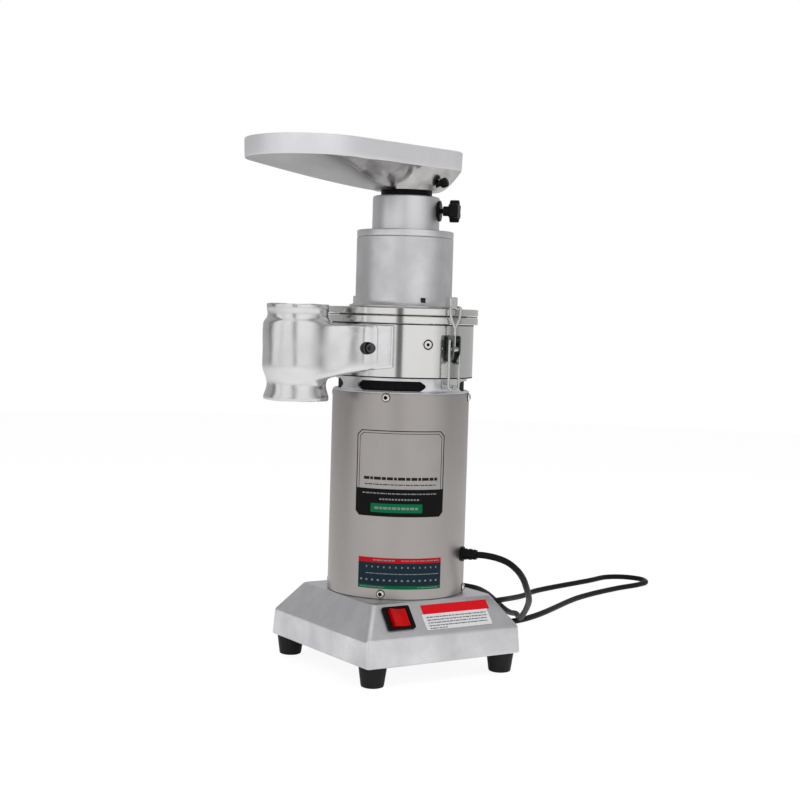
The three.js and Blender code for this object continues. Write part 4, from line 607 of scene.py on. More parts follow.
rows = bmesh.new()
for i, (height, end) in enumerate(panel_rows):
    for left, right in dashes(panel_row_start, end, 0.0008, dash_lengths[i:] + dash_lengths[:i]):
        dash = block((right - left, 0.0011, 0.0001), shift((left + right) / 2, height, 0.00029))
        add_to(rows, dash, slope_foot)
settle(rows, "panel_rows", "root", printed("panel_rows", (0.10, 0.10, 0.12)), "polished_aluminium")
for name, (left, right, low, high, thickness, color) in panel_plates.items():
    plate = block((right - left, high - low, thickness), slope_foot @ shift(
        (left + right) / 2, (low + high) / 2, thickness / 2 + 0.00005))
    settle(plate, name, "root", printed(name, color), "polished_aluminium")

# Sleeve: the motor's outer tube, rolled from satin stainless sheet and held to both brackets by four
# button-head screws each; black discs in their sockets are painted shade, and black rings under their rims
# are painted shadow.
sleeve_radius = 0.0725
sleeve_wall = 0.0012
sleeve_low, sleeve_high = (corner.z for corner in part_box("sleeve"))
gland_bore = 0.0063
screw_angles = [math.radians(angle) for angle in (45, 135, 225, 315)]
screw_heights = (0.0856, 0.287)
screw_socket = 0.0023
screw_profile = [
    (0, -0.004), (0.0016, -0.004), (0.0016, 0.0002), (0.0040, 0.0002), (0.0041, 0.0007), (0.0037, 0.0016),
    (0.0029, 0.0023), (0, 0.0026),
]
stainless = finish("sleeve_steel", (0.41, 0.386, 0.375), 0.36, 1.0, stretch=(1, 1, 20), grain_scale=60,
                   grain=0.05, cloud_scale=12, clouds=0.12, relief=0.00003, strength=0.1)


def on_wall(angle, radius, height):
    """Place and turn that stand a part on the round wall, its z axis outwards."""
    return shift(axis_x, 0, height) @ swing(angle, "Z") @ shift(radius, 0, 0) @ swing(math.pi / 2, "Y")


def upright(bm):
    bm.transform(shift(axis_x, 0, 0))
    return bm


inner = sleeve_radius - sleeve_wall
tube = upright(lathe([
    (inner, sleeve_low), (sleeve_radius - 0.0004, sleeve_low), (sleeve_radius, sleeve_low + 0.0005),
    (sleeve_radius, sleeve_high - 0.0005), (sleeve_radius - 0.0004, sleeve_high), (inner, sleeve_high),
], 160, closed=True))
gland_hole = rod_between(-0.01, 0.01, gland_bore, 32)
gland_hole.transform(on_wall(gland_angle, sleeve_radius, gland_height))
tube = combine(tube, gland_hole)
settle(tube, "sleeve_tube", "root", stainless, "stainless", "sleeve", sharp=25)

screw_steel = finish("screw_steel", (0.72, 0.70, 0.66), 0.16, 1.0, grain_scale=500, grain=0.1)
# Plain black for painted shade: socket floors, shadow rings, shade lines and recess linings.
painted_shade_black = finish("painted_shade_black", (0.003, 0.003, 0.003), 0.6, grain_scale=900, grain=0.2,
                      Specular_IOR_Level=0.1)
screws, socket_shades = bmesh.new(), bmesh.new()
for height in screw_heights:
    for angle in screw_angles:
        stand = on_wall(angle, sleeve_radius, height)
        add_to(screws, combine(lathe(screw_profile, 32), rod_between(0.0008, 0.004, screw_socket, 6)), stand)
        # Black disc at the floor of each hex socket: painted shade.
        add_to(socket_shades, lathe([(0, 0.0006), (0.00225, 0.0006), (0.00225, 0.0013), (0, 0.0010)], 6), stand)
        # Black ring under each screw head's rim: painted shadow.
        rim = lathe([(0.0036, 0), (0.0046, 0), (0.0046, 0.00015), (0.0036, 0.0002)], 32, closed=True)
        add_to(socket_shades, rim, stand)
settle(screws, "sleeve_screws", "root", screw_steel, "bright_steel", sharp=28)
settle(socket_shades, "sleeve_socket_shades", "root", painted_shade_black, "black_plastic", sharp=28)

# Labels: two printed foils on the sleeve, bent round it, each with its bands, fields and frame lines as
# foils of their own, and rows of plain dashes printed over them.
foil_glue = 0.00003
foil_strip = 0.002
foil_plates = [
    # name, from and to round the sleeve in degrees, low, high, lift, corner, colour and metallic;
    # a corner below nought is cut at the foot only
    ("foil_upper", 200.6, 276.5, 0.1655, 0.2536, 0.00012, 0.005, (0.004, 0.004, 0.005), 0.0),
    ("foil_upper_edge", 201.5, 275.6, 0.1664, 0.2527, 0.00016, 0.0046, (0.40, 0.38, 0.368), 0.9),
    ("foil_upper_line", 203.1, 274.0, 0.178, 0.2509, 0.00020, 0.004, (0.03, 0.03, 0.035), 0.1),
    ("foil_upper_field", 203.7, 273.4, 0.179, 0.2503, 0.00024, 0.0037, (0.40, 0.38, 0.368), 0.9),
    ("foil_upper_dark", 200.6, 276.5, 0.1655, 0.1938, 0.00028, -0.0045, (0.004, 0.004, 0.004), 0.0),
    ("foil_upper_strip", 214.7, 257.3, 0.1697, 0.1788, 0.00032, 0.0005, (0.001, 0.13, 0.045), 0.0),
    ("foil_lower", 205, 276.4, 0.091, 0.123, 0.00012, 0.001, (0.009, 0.022, 0.032), 0.0),
    ("foil_lower_top", 205, 276.4, 0.118, 0.123, 0.00018, 0.0005, (0.44, 0.004, 0.010), 0.0),
    ("foil_lower_foot", 205, 276.4, 0.091, 0.0945, 0.00018, 0.0005, (0.001, 0.11, 0.04), 0.0),
]
foil_rows = {
    # from and to round the sleeve in degrees, height, how tall, gap, dash lengths, lift
    "rows_dark": ((0.012, 0.012, 0.014), [
        (208, 270, 0.2045, 0.0030, 0.0010, (0.0062, 0.0030, 0.0074, 0.0044), 0.00030),
        (209, 269, 0.1983, 0.0010, 0.0008, dash_lengths, 0.00030),
    ]),
    "rows_pale": ((0.20, 0.21, 0.22), [
        (207, 270, 0.1892, 0.0012, 0.0008, dash_lengths, 0.00036),
        (222, 255, 0.1833, 0.0016, 0.0010, (0.0022,), 0.00036),
        (218, 254, 0.1742, 0.0024, 0.0010, (0.0044, 0.0028), 0.00040),
        (218, 236, 0.1205, 0.0012, 0.0008, dash_lengths, 0.00026),
        (241, 274, 0.1205, 0.0009, 0.0008, dash_lengths, 0.00026),
        (212, 274, 0.1135, 0.0018, 0.0048, (0.0014,), 0.00020),
        (212, 274, 0.1067, 0.0008, 0.0006, dash_lengths, 0.00020),
        (207, 274, 0.1000, 0.0018, 0.0040, (0.0022,), 0.00020),
        (207, 228, 0.0928, 0.0007, 0.0006, dash_lengths, 0.00026),
        (255, 274, 0.0928, 0.0007, 0.0006, dash_lengths, 0.00026),
    ]),
}


def round_sleeve(angle):
    """How far round the sleeve an angle in degrees reaches."""
    return math.radians(angle) * sleeve_radius


def wrap(bm):
    """Bend a flat shape, x running round and z up, on to the sleeve."""
    for vert in bm.verts:
        angle, out = vert.co.x / sleeve_radius, sleeve_radius + foil_glue + vert.co.y
        vert.co = (axis_x + out * math.cos(angle), out * math.sin(angle), vert.co.z)
    return face_outwards(bm)


def flat_foil(start, end, low, high, thickness, corner):
    """A thin flat plate with its corners cut, in narrow upright strips so that it can bend."""
    middle = shift((start + end) / 2, thickness / 2, (low + high) / 2)
    bm = block((end - start, thickness, high - low), middle)
    bevelled(bm, [edge for edge in bm.edges if span(edge, 1) > thickness / 2
                  and (corner > 0 or edge.verts[0].co.z < (low + high) / 2)], abs(corner), 1)
    for cut in range(1, int((end - start) / foil_strip)):
        bmesh.ops.bisect_plane(bm, geom=bm.verts[:] + bm.edges[:] + bm.faces[:],
                               plane_co=(start + cut * foil_strip, 0, 0), plane_no=(1, 0, 0))
    return bm


for name, start, end, low, high, lift, corner, color, shine in foil_plates:
    foil = wrap(flat_foil(round_sleeve(start), round_sleeve(end), low, high, lift, corner))
    settle(foil, name, "root", printed(name, color, shine), "polished_aluminium", sharp=50)
for name, (color, lines) in foil_rows.items():
    rows = bmesh.new()
    for start, end, height, tall, gap, lengths, lift in lines:
        for left, right in dashes(round_sleeve(start), round_sleeve(end), gap, lengths):
            add_to(rows, block((right - left, 0.0001, tall), shift((left + right) / 2, lift, height)))
    settle(wrap(rows), name, "root", printed(name, color), "polished_aluminium", sharp=50)

# Gland: a moulded black strain relief where the cord leaves the sleeve, flanged, with soft ribs that
# taper towards the cord.
gland_profile = [
    (0, -0.006), (0.0057, -0.006), (0.0057, 0.0003), (0.0078, 0.0003), (0.0078, 0.0015), (0.0074, 0.0019),
    (0.0060, 0.0021), (0.0060, 0.0052), (0.0053, 0.0054), (0.0053, 0.0072), (0.0059, 0.0074),
    (0.0058, 0.0105), (0.0051, 0.0107), (0.0051, 0.0124), (0.0055, 0.0126), (0.0050, 0.0158),
    (0.0048, 0.0160), (0, 0.0160),
]
gland = lathe(gland_profile, 48)
gland.transform(on_wall(gland_angle, sleeve_radius + 0.0003, gland_height))
settle(gland, "cord_gland", "root", plastic_black, "black_plastic", "cable_gland", sharp=30)

# Upper bracket: a cast ring between the sleeve and the drum. Four long vents with pointed ends go
# through its wall, each closed by a thin black sheet that paints the shade inside the vent, and its plate
# carries the upper bearing inside.
vent_bottom = 0.2913
vent_top = 0.3067
vent_radius = 0.0695
vent_inner = 0.0635
bracket_plate = 0.006
plate_bottom = vent_bottom - 0.015
seat_top = plate_bottom + 0.011 - 0.005 + 0.0003
hub_bottom = seat_top - 0.0113 - 0.004
bearing_bore = 0.0178
hub_radius = 0.024
latch_angles = {"front": math.radians(277), "back": math.radians(97)}
vent_from_latch = math.radians(49.3)
vent_span = math.radians(61)
vent_tip = math.radians(4)
vent_low, vent_high = vent_bottom + 0.0024, vent_bottom + 0.0127
window_in_plate = math.radians(27)
window_near, window_far = 0.032, 0.054
shade_sheet_radius = 0.0658
shade_sheet_overlap = 0.0002
bracket_steps = 161  # an odd count, so that no line of the ring falls on a corner of a window
bracket = upright(lathe([
    (bearing_bore, hub_bottom), (hub_radius, hub_bottom), (hub_radius, plate_bottom),
    (0.0710, plate_bottom), (0.0710, vent_bottom), (0.0722, vent_bottom), (0.0725, vent_bottom + 0.0004),
    (0.0718, vent_bottom + 0.0014), (0.0702, vent_bottom + 0.0022), (vent_radius, vent_bottom + 0.0034),
    (vent_radius, vent_top), (vent_inner, vent_top), (vent_inner, plate_bottom + bracket_plate),
    (hub_radius, plate_bottom + bracket_plate), (hub_radius, seat_top + 0.003), (0.012, seat_top + 0.003),
    (0.012, seat_top), (bearing_bore, seat_top),
], bracket_steps, closed=True))


def bent_slot(middle, half_span, tip, low, high, near, far):
    """A long block bent round the axis, pointed at its ends."""
    bm = bmesh.new()
    bmesh.ops.create_grid(bm, x_segments=24, y_segments=1, size=1)
    for vert in raised(bm, bm.faces[:], use_keep_orig=True):
        vert.co.z = 1
    for vert in bm.verts:
        angle = middle + vert.co.x * half_span
        left = half_span * (1 - abs(vert.co.x))
        share = min(left / tip, 1) if tip else 1
        height = (low + high) / 2 + (vert.co.z * 2 - 1) * (high - low) / 2 * max(share, 0.2)
        radius = near if vert.co.y < 0 else far
        vert.co = (axis_x + radius * math.cos(angle), radius * math.sin(angle), height)
    return face_outwards(bm)


vent_angles = [angle + side * vent_from_latch for angle in latch_angles.values() for side in (-1, 1)]
for angle in vent_angles:
    bracket = combine(bracket, bent_slot(angle, vent_span / 2, vent_tip, vent_low, vent_high,
                                         vent_inner - 0.004, 0.078))
for quarter in range(4):
    bracket = combine(bracket, bent_slot(quarter * math.pi / 2, window_in_plate, 0, plate_bottom - 0.004,
                                         plate_bottom + bracket_plate + 0.004, window_near, window_far))
settle(bracket, "vent_ring", "root", cast_aluminium, "cast_aluminium", "upper_bracket", sharp=30)
# A thin black sheet in each vent: painted shade for the dark inside behind it.
shade_sheet = bmesh.new()
for angle in vent_angles:
    add_to(shade_sheet, bent_slot(angle, vent_span / 2, vent_tip, vent_low - shade_sheet_overlap,
                            vent_high + shade_sheet_overlap, shade_sheet_radius, shade_sheet_radius + 0.0008))
shade_sheet_black = finish("shade_sheet_black", (0.004, 0.004, 0.004), 0.6, grain_scale=1400, grain=0.6, relief=0.0004,
                     strength=0.8, Specular_IOR_Level=0.1)
settle(shade_sheet, "vent_shade_sheet", "root", shade_sheet_black, "black_plastic", sharp=50)

# Drum: the milling chamber, a cast aluminium cup turned and polished outside, with a flange for the
# lid. A window behind the outlet lets the meal through. Black lines of painted shade edge its wall under the
# flange and at its foot.
drum_low, drum_high = (corner.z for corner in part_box("drum"))
drum_radius = 0.075
drum_inner = 0.068
flange_radius = 0.0793
flange_bottom = drum_high - 0.0073
drum_floor = 0.006
shaft_hole = 0.0143
window_half = math.radians(22)
window_low, window_high = drum_low + 0.011, drum_low + 0.049
shade_line_gap, shade_line_height = 0.0001, 0.0012
polished = finish("polished_aluminium", (0.70, 0.695, 0.68), 0.12, 1.0, stretch=(1, 1, 22), grain_scale=90,
                  grain=0.06, cloud_scale=14, clouds=0.08, relief=0.00002, strength=0.12)
drum = upright(lathe([
    (shaft_hole, drum_low), (drum_radius - 0.0005, drum_low), (drum_radius, drum_low + 0.0005),
    (drum_radius, flange_bottom), (flange_radius - 0.0006, flange_bottom),
    (flange_radius, flange_bottom + 0.0006), (flange_radius, drum_high - 0.0006),
    (flange_radius - 0.0006, drum_high), (drum_inner, drum_high), (drum_inner, drum_low + drum_floor),
    (shaft_hole, drum_low + drum_floor),
], 192, closed=True))
drum = combine(drum, bent_slot(math.pi, window_half, 0, window_low, window_high, drum_inner - 0.006,
                               drum_radius + 0.006))
settle(drum, "drum_body", "root", polished, "polished_aluminium", "drum", sharp=25)
# Two thin black rings round the wall, under the flange and at its foot: painted shade.
shade_lines = bmesh.new()
for low in (drum_low + shade_line_gap, flange_bottom - shade_line_gap - shade_line_height):
    add_to(shade_lines, upright(lathe([
        (drum_radius + out, height) for out, height in (
            (-0.0006, low), (0.0001, low), (0.0001, low + shade_line_height), (-0.0006, low + shade_line_height))
    ], 192, closed=True)))
settle(shade_lines, "drum_shade_lines", "root", painted_shade_black, "black_rubber", sharp=50)

# Drum bolts: three countersunk socket screws in the drum's wall, each in a turned ring, flush with it.
bolt_places = {"back": 77.3, "front": 257.3, "right": 347.3}
bolt_height = drum_low + 0.035
bolt_socket = 0.0019
bolt_steel = finish("bolt_steel", (0.72, 0.71, 0.69), 0.20, 1.0, grain_scale=500, grain=0.15)
for name, angle in bolt_places.items():
    bolt = lathe([
        (0, -0.0104), (0.0029, -0.0104), (0.0029, -0.0029), (0.0058, -0.0003), (0.0058, 0.0002),
        (0.0055, 0.0005), (0.0052, 0.0005), (0.0052, 0.0001), (0.0040, 0.0001), (0.0039, 0.0005),
        (0.0030, 0.0006), (0, 0.0006),
    ], 48)
    # Black disc in each hex socket and black ring in the groove round the head: painted shade.
    socket_and_groove_shade = lathe([(0, -0.0016), (0.00185, -0.0016), (0.00185, 0.0002), (0, 0.0001)], 6)
    add_to(socket_and_groove_shade, lathe([(0.0040, 0), (0.0052, 0), (0.0052, 0.0002), (0.0040, 0.0002)], 48, closed=True))
    socket_and_groove_shade.transform(on_wall(math.radians(angle), drum_radius, bolt_height))
    settle(socket_and_groove_shade, f"bolt_painted_shade_{name}", "root", painted_shade_black, "black_plastic", sharp=28)
    bolt = combine(bolt, rod_between(-0.0015, 0.003, bolt_socket, 6))
    bolt.transform(on_wall(math.radians(angle), drum_radius, bolt_height))
    settle(bolt, f"flush_bolt_{name}", "root", bolt_steel, "bright_steel", f"drum_bolt_{name}", sharp=25)

# Outlet: one hollow aluminium casting, sand-cast and buffed. A saddle lies round the drum, a broad
# duct leads away from it, and a pipe open at both ends stands at the duct's end.
outlet_reach = 0.1275
outlet_bore = 0.027
saddle_inner = drum_radius + 0.0003
saddle_outer = saddle_inner + 0.0057
saddle_half = math.radians(50.5)
saddle_low, saddle_high = drum_low + 0.0105, drum_low + 0.0545
duct_low, duct_high = drum_low - 0.0035, drum_low + 0.054
duct_root_half = 0.050
duct_waist_reach = 0.098
duct_waist_half = 0.0273
outlet_bolt_angles = {"back": math.pi - math.radians(33.5), "front": math.pi + math.radians(33.5)}
outlet_bolt_height = drum_low + 0.030
outlet_bolt_seat = saddle_outer - 0.004
pipe_place = shift(axis_x - outlet_reach, 0, drum_low)
blend_grid, outlet_blend_rounds = 0.0016, 45
edge_grid, edge_rounds = 0.0013, 4
saddle_skin = 0.0013
outlet_window = (outlet_reach - drum_inner, 0.044, 0.038)
outlet_recess = [(0, 0), (0.0058, 0), (0.0058, 0.0036), (0.0064, 0.0044), (0.0064, 0.018), (0, 0.018)]
buffing_depth = 0.0006
buffing_width = 0.021
pipe_rims = (
    [(0.026, -0.025), (0.0332, -0.025), (0.0335, -0.0225), (0.0332, -0.0195), (0.026, -0.0175)],
    [(0.026, 0.0658), (0.0316, 0.0668), (0.0319, 0.0700), (0.0317, 0.0727), (0.026, 0.0727)],
    [(0.026, 0.0480), (0.0346, 0.0480), (0.0349, 0.0520), (0.0341, 0.0550), (0.0322, 0.0572),
     (0.026, 0.0585)],
)
pipe_profile = [
    (0, -0.025), (0.0334, -0.025), (0.0334, -0.018), (0.0301, -0.013), (0.0301, -0.005), (0.0352, 0.0065),
    (0.0352, 0.0516), (0.0334, 0.054), (0.0300, 0.061), (0.0318, 0.065), (0.0318, 0.0727), (0, 0.0727),
]


def curve_between(start, bend, end, steps=10):
    """Points on a quadratic curve, without its first."""
    shares = [i / steps for i in range(1, steps + 1)]
    return [start * (1 - t) ** 2 + bend * 2 * t * (1 - t) + end * t**2 for t in shares]


def prism(outline, low, high, to_side=False):
    """An outline raised to a block: a plan between two heights, or a side view from side to side."""
    bm = bmesh.new()
    verts = [bm.verts.new((x, 0, y) if to_side else (x, y, 0)) for x, y in outline]
    moved = raised(bm, [bm.faces.new(verts)])
    for vert in bm.verts:
        across = high if vert in moved else low
        vert.co = (vert.co.x, across, vert.co.z) if to_side else (vert.co.x, vert.co.y, across)
    return face_outwards(bm)


waist = Vector((-duct_waist_reach, duct_waist_half))
pipe_side = Vector((-outlet_reach, 0.0349))
root = Vector((-drum_radius, duct_root_half))
flank = [pipe_side, *curve_between(pipe_side, waist, root), Vector((-drum_radius / 2, duct_root_half))]
plan = [*flank, *(Vector((point.x, -point.y)) for point in reversed(flank))]
chin_start = Vector((-outlet_reach + 0.015, duct_low))
chin_end = Vector((-0.0500, saddle_low + 0.0003))
side_view = [Vector((-outlet_reach - 0.0352, duct_low)), chin_start,
             *curve_between(chin_start, Vector((-0.0790, saddle_low - 0.0050)), chin_end),
             Vector((-drum_radius / 2, saddle_low + 0.0003)), Vector((-drum_radius / 2, duct_high)),
             Vector((-outlet_reach - 0.0352, duct_high))]


def saddle_plate(outer):
    return bent_slot(math.pi, saddle_half, 0, saddle_low - 0.008, saddle_high, saddle_inner - 0.004, outer)


casting = prism(plan, duct_low, duct_high)
casting.transform(shift(axis_x, 0, 0))
casting = combine(casting, saddle_plate(saddle_outer - saddle_skin), "UNION")
side_cut = prism(side_view, -0.1, 0.1, to_side=True)
side_cut.transform(shift(axis_x, 0, 0))
plate = combine(saddle_plate(saddle_outer), side_cut.copy(), "INTERSECT")
casting = combine(casting, side_cut, "INTERSECT")
pipe = lathe(pipe_profile, 96)
pipe.transform(pipe_place)
casting = combine(casting, pipe, "UNION")
casting = worked(casting, "REMESH", mode="VOXEL", voxel_size=blend_grid)
casting = worked(casting, "SMOOTH", factor=0.5, iterations=outlet_blend_rounds)
casting = combine(casting, plate, "UNION")
for profile in pipe_rims:
    rim = lathe(profile, 96, closed=True)
    rim.transform(pipe_place)
    casting = combine(casting, rim, "UNION")
casting = worked(casting, "REMESH", mode="VOXEL", voxel_size=edge_grid)
casting = worked(casting, "SMOOTH", factor=0.5, iterations=edge_rounds)
casting.normal_update()
for vert in casting.verts:
    vert.co += vert.normal * buffing_depth * noise.noise(vert.co / buffing_width)
casting = combine(casting, upright(rod_between(drum_low - 0.03, drum_high, saddle_inner, 160)))
bore = rod_between(-0.04, 0.09, outlet_bore, 96)
bore.transform(pipe_place)
casting = combine(casting, bore)
casting = combine(casting, block(outlet_window, shift(
    axis_x - (outlet_reach + drum_inner) / 2, 0, drum_low + 0.030)))
for angle in outlet_bolt_angles.values():
    recess = lathe(outlet_recess, 48)
    recess.transform(on_wall(angle, outlet_bolt_seat - 0.0002, outlet_bolt_height))
    casting = combine(casting, recess)
buffed_casting = finish("buffed_casting", (0.74, 0.735, 0.74), 0.25, 1.0, grain_scale=16, grain=0.05,
                        cloud_scale=45, clouds=0.16, relief=0.004, strength=0.10)
settle(casting, "outlet_body", "root", buffed_casting, "cast_aluminium", "outlet_casting", sharp=50)

# Outlet bolts: two blackened socket cap screws that hold the saddle to the drum, each sunk in a recess
# whose walls are lined with a black cup of painted shade.
cap_socket = 0.0028
black_oxide = finish("black_oxide", (0.10, 0.10, 0.105), 0.32, 1.0, grain_scale=700, grain=0.3)
for name, angle in outlet_bolt_angles.items():
    bolt = lathe([
        (0, -0.0128), (0.0029, -0.0128), (0.0029, -0.0002), (0.0048, -0.0002), (0.0050, 0.0002),
        (0.0050, 0.0033), (0.0044, 0.0039), (0, 0.0039),
    ], 48)
    bolt = combine(bolt, rod_between(0.0016, 0.006, cap_socket, 6))
    bolt.transform(on_wall(angle, outlet_bolt_seat, outlet_bolt_height))
    settle(bolt, f"cap_screw_{name}", "root", black_oxide, "bright_steel", f"outlet_bolt_{name}", sharp=25)
    # Black lining of the recess round the head: painted shade.
    liner = lathe([
        (0.0051, 0), (0.0058, 0), (0.0058, 0.0018), (0.0056, 0.0018), (0.0056, 0.0003), (0.0051, 0.0003),
    ], 48, closed=True)
    liner.transform(on_wall(angle, outlet_bolt_seat, outlet_bolt_height))
    settle(liner, f"cap_screw_shade_{name}", "root", painted_shade_black, "black_plastic", sharp=28)

# Gasket and lid: a black rubber ring in the joint, and a flat turned lid flange over it whose spigot
# centres it in the drum.
throat_radius = 0.0245
gasket_low, gasket_high = (corner.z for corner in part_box("lid_gasket"))
lid_low, lid_high = (corner.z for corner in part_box("lid"))
lid_seat = lid_high - 0.0071
gasket = upright(lathe([
    (flange_radius - 0.0097, gasket_low), (flange_radius - 0.0009, gasket_low),
    (flange_radius - 0.0007, gasket_low + 0.0003), (flange_radius - 0.0007, gasket_high - 0.0003),
    (flange_radius - 0.0009, gasket_high), (flange_radius - 0.0097, gasket_high),
], 160, closed=True))
settle(gasket, "joint_ring", "root", rubber_black, "black_rubber", "lid_gasket", sharp=50)
lid = upright(lathe([
    (throat_radius, lid_low), (drum_inner - 0.0006, lid_low), (drum_inner - 0.0006, lid_seat),
    (flange_radius - 0.0006, lid_seat), (flange_radius, lid_seat + 0.0006),
    (flange_radius, lid_high - 0.0008), (flange_radius - 0.0008, lid_high), (throat_radius, lid_high),
], 192, closed=True))
settle(lid, "lid_flange", "root", polished, "polished_aluminium", "lid", sharp=25)

# Tower: the lid's turned upper body, satin, with a flared foot on the flange and a funnel inside that
# guides the grain. One small square-headed screw shows on its foot.
tower_low, tower_high = (corner.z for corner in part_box("tower"))
tower_radius = 0.051
tower_inner = 0.046
grub_angle, grub_low = math.radians(260), 0.387
satin = finish("satin_aluminium", (0.67, 0.66, 0.67), 0.44, 1.0, stretch=(1, 1, 0.35), grain_scale=85,
               grain=0.16, cloud_scale=40, clouds=0.42, relief=0.00003, strength=0.1)
tower = upright(lathe([
    (throat_radius, tower_low), (0.0557, tower_low), (0.0560, tower_low + 0.0003),
    (0.0560, tower_low + 0.0016), (0.0542, tower_low + 0.0027), (0.0526, tower_low + 0.0043),
    (0.0515, tower_low + 0.0061), (tower_radius, tower_low + 0.0080), (tower_radius, tower_high - 0.0006),
    (tower_radius - 0.0006, tower_high), (tower_inner, tower_high), (tower_inner, lid_high + 0.012),
    (throat_radius, tower_low + 0.002),
], 160, closed=True))
settle(tower, "tower_body", "root", satin, "polished_aluminium", "tower", sharp=28)
grub = block((0.0052, 0.0052, 0.0016), on_wall(grub_angle, tower_radius + 0.0004, grub_low))
grub_black = finish("grub_black", (0.02, 0.02, 0.02), 0.4, 0.6, grain_scale=900, grain=0.2)
settle(grub, "tower_screw", "root", grub_black, "bright_steel", soften=0.0003)

# Latch posts: a small milled block on the lid's rim behind each latch, with chamfered edges, that the
# bail pulls on.
post_inner, post_outer = 0.0718, 0.0805
post_width = 0.0104
for name, angle in latch_angles.items():
    node = f"latch_{name}_post"
    low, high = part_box(node)
    post = block((post_outer - post_inner, post_width, high.z - low.z), shift(
        axis_x, 0, (low.z + high.z) / 2) @ swing(angle, "Z") @ shift((post_inner + post_outer) / 2, 0, 0))
    settle(post, f"{name}_post", "root", satin, "polished_aluminium", node, soften=0.0012, segments=3)

# Neck: a turned cap that closes the tower and the upright collar on it, polished, which the feed tube
# slides in.
neck_low, neck_high = (corner.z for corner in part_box("neck"))
cap_low, cap_high = 0.4528, 0.4598
neck_radius = 0.0354
tube_bore = 0.0273
neck_seat = cap_low - 0.006 + 0.002
neck = upright(lathe([
    (throat_radius, neck_low), (tower_inner - 0.0003, neck_low), (tower_inner - 0.0003, cap_low),
    (tower_radius - 0.0005, cap_low), (tower_radius, cap_low + 0.0005), (tower_radius, cap_high - 0.0014),
    (tower_radius - 0.0004, cap_high - 0.0004), (tower_radius - 0.0014, cap_high),
    (neck_radius + 0.0012, cap_high), (neck_radius, cap_high + 0.0012), (neck_radius, neck_high - 0.0026),
    (neck_radius - 0.0004, neck_high - 0.0012), (neck_radius - 0.0012, neck_high - 0.0004),
    (neck_radius - 0.0026, neck_high), (tube_bore, neck_high), (tube_bore, neck_seat),
    (throat_radius, neck_seat),
], 160, closed=True))
turned = finish("turned_aluminium", (0.72, 0.715, 0.73), 0.42, 1.0, stretch=(1, 1, 22), grain_scale=90,
                grain=0.07, cloud_scale=18, clouds=0.12, relief=0.00002, strength=0.12)
settle(neck, "neck_collar", "root", turned, "polished_aluminium", "neck", sharp=28)

# Neck knob: a moulded black star knob on a steel stud, with a thin washer against the collar.
knob_angle = math.radians(315)
knob_height = cap_high + 0.0217
washer_gap = 0.0003
washer_thickness = 0.0014
stud_radius = 0.0024
stud_tip = 0.0275
hub_foot = neck_radius + washer_gap + washer_thickness + 0.0028
head_foot = hub_foot + 0.007
star_radius = 0.0117
star_valley = 0.009
star_lobes = 6
star_thickness = 0.010
star_round = 0.0013
washer = lathe([
    (0.0027, 0), (0.0107, 0), (0.0110, 0.0003), (0.0110, 0.0011), (0.0107, washer_thickness),
    (0.0027, washer_thickness),
], 64, closed=True)
washer.transform(on_wall(knob_angle, neck_radius + washer_gap, knob_height))
settle(washer, "collar_washer", "root", plastic_black, "black_plastic", "neck_washer", sharp=50)
star = bmesh.new()
bmesh.ops.create_circle(star, cap_ends=True, segments=96, radius=1)
for vert in star.verts:
    turn = math.atan2(vert.co.y, vert.co.x)
    radius = star_valley + (star_radius - star_valley) * (1 + math.cos(turn * star_lobes)) / 2
    vert.co = (radius * math.cos(turn), radius * math.sin(turn), head_foot)
bmesh.ops.translate(star, vec=(0, 0, star_thickness), verts=raised(star, star.faces[:]))
face_outwards(star)
bevelled(star, [edge for edge in star.edges if span(edge, 2) < 1e-6], star_round, 4)
add_to(star, lathe([
    (0, stud_tip), (stud_radius, stud_tip), (stud_radius, hub_foot), (0.0048, hub_foot),
    (0.0052, hub_foot + 0.0004), (0.0052, head_foot + 0.0006), (0, head_foot + 0.0006),
], 48))
star.transform(on_wall(knob_angle, 0, knob_height))
settle(star, "star_knob", "neck_knob_body", plastic_black, "black_plastic", "neck_knob", sharp=40)

# Feed tube: a black nylon tube that slides in the collar and carries the tray; only its ring shows
# between the two.
tube_low, tube_high = (corner.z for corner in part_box("feed_tube"))
tube_radius = 0.027
feed_tube = upright(lathe([
    (throat_radius, tube_low), (tube_radius, tube_low), (tube_radius, tube_high - 0.0005),
    (tube_radius - 0.0005, tube_high), (throat_radius, tube_high),
], 128, closed=True))
settle(feed_tube, "feed_sleeve", "feed_tube_body", nylon_black, "black_plastic", "feed_tube", sharp=30)

# Tray: a cast hopper, teardrop in plan, lofted from the round boss at its foot to the wide rim. Its
# underside is a straight chute at the far end, and a trumpet and a full belly elsewhere; their faces that
# look down are coloured darker as painted shade, satin on the chute and buffed on the belly.
tray_low, tray_high = (corner.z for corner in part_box("tray"))
tray_crease = tray_low + 0.0235
boss_radius = 0.034
far_centre, far_radius = 0.1154, 0.0688
nose_centre, nose_radius = 0.0285, 0.0346
tray_wall = 0.004
tray_draft = 0.0012
tray_lip = 0.0014
tray_sides = 144
belly_rings = 18
floor_rings = 6
tray_throat = tray_low + 0.0125
tray_floor = tray_low + 0.0275
floor_inset = tray_wall + tray_draft
socket_top = tray_low + 0.0093
chute_half, chute_blend = math.radians(31), math.radians(10)
nose_from, nose_to = math.radians(95), math.radians(150)
chute_power, side_power, nose_power = 1.3, 0.5, 1.6
tray_bunching = 1.45


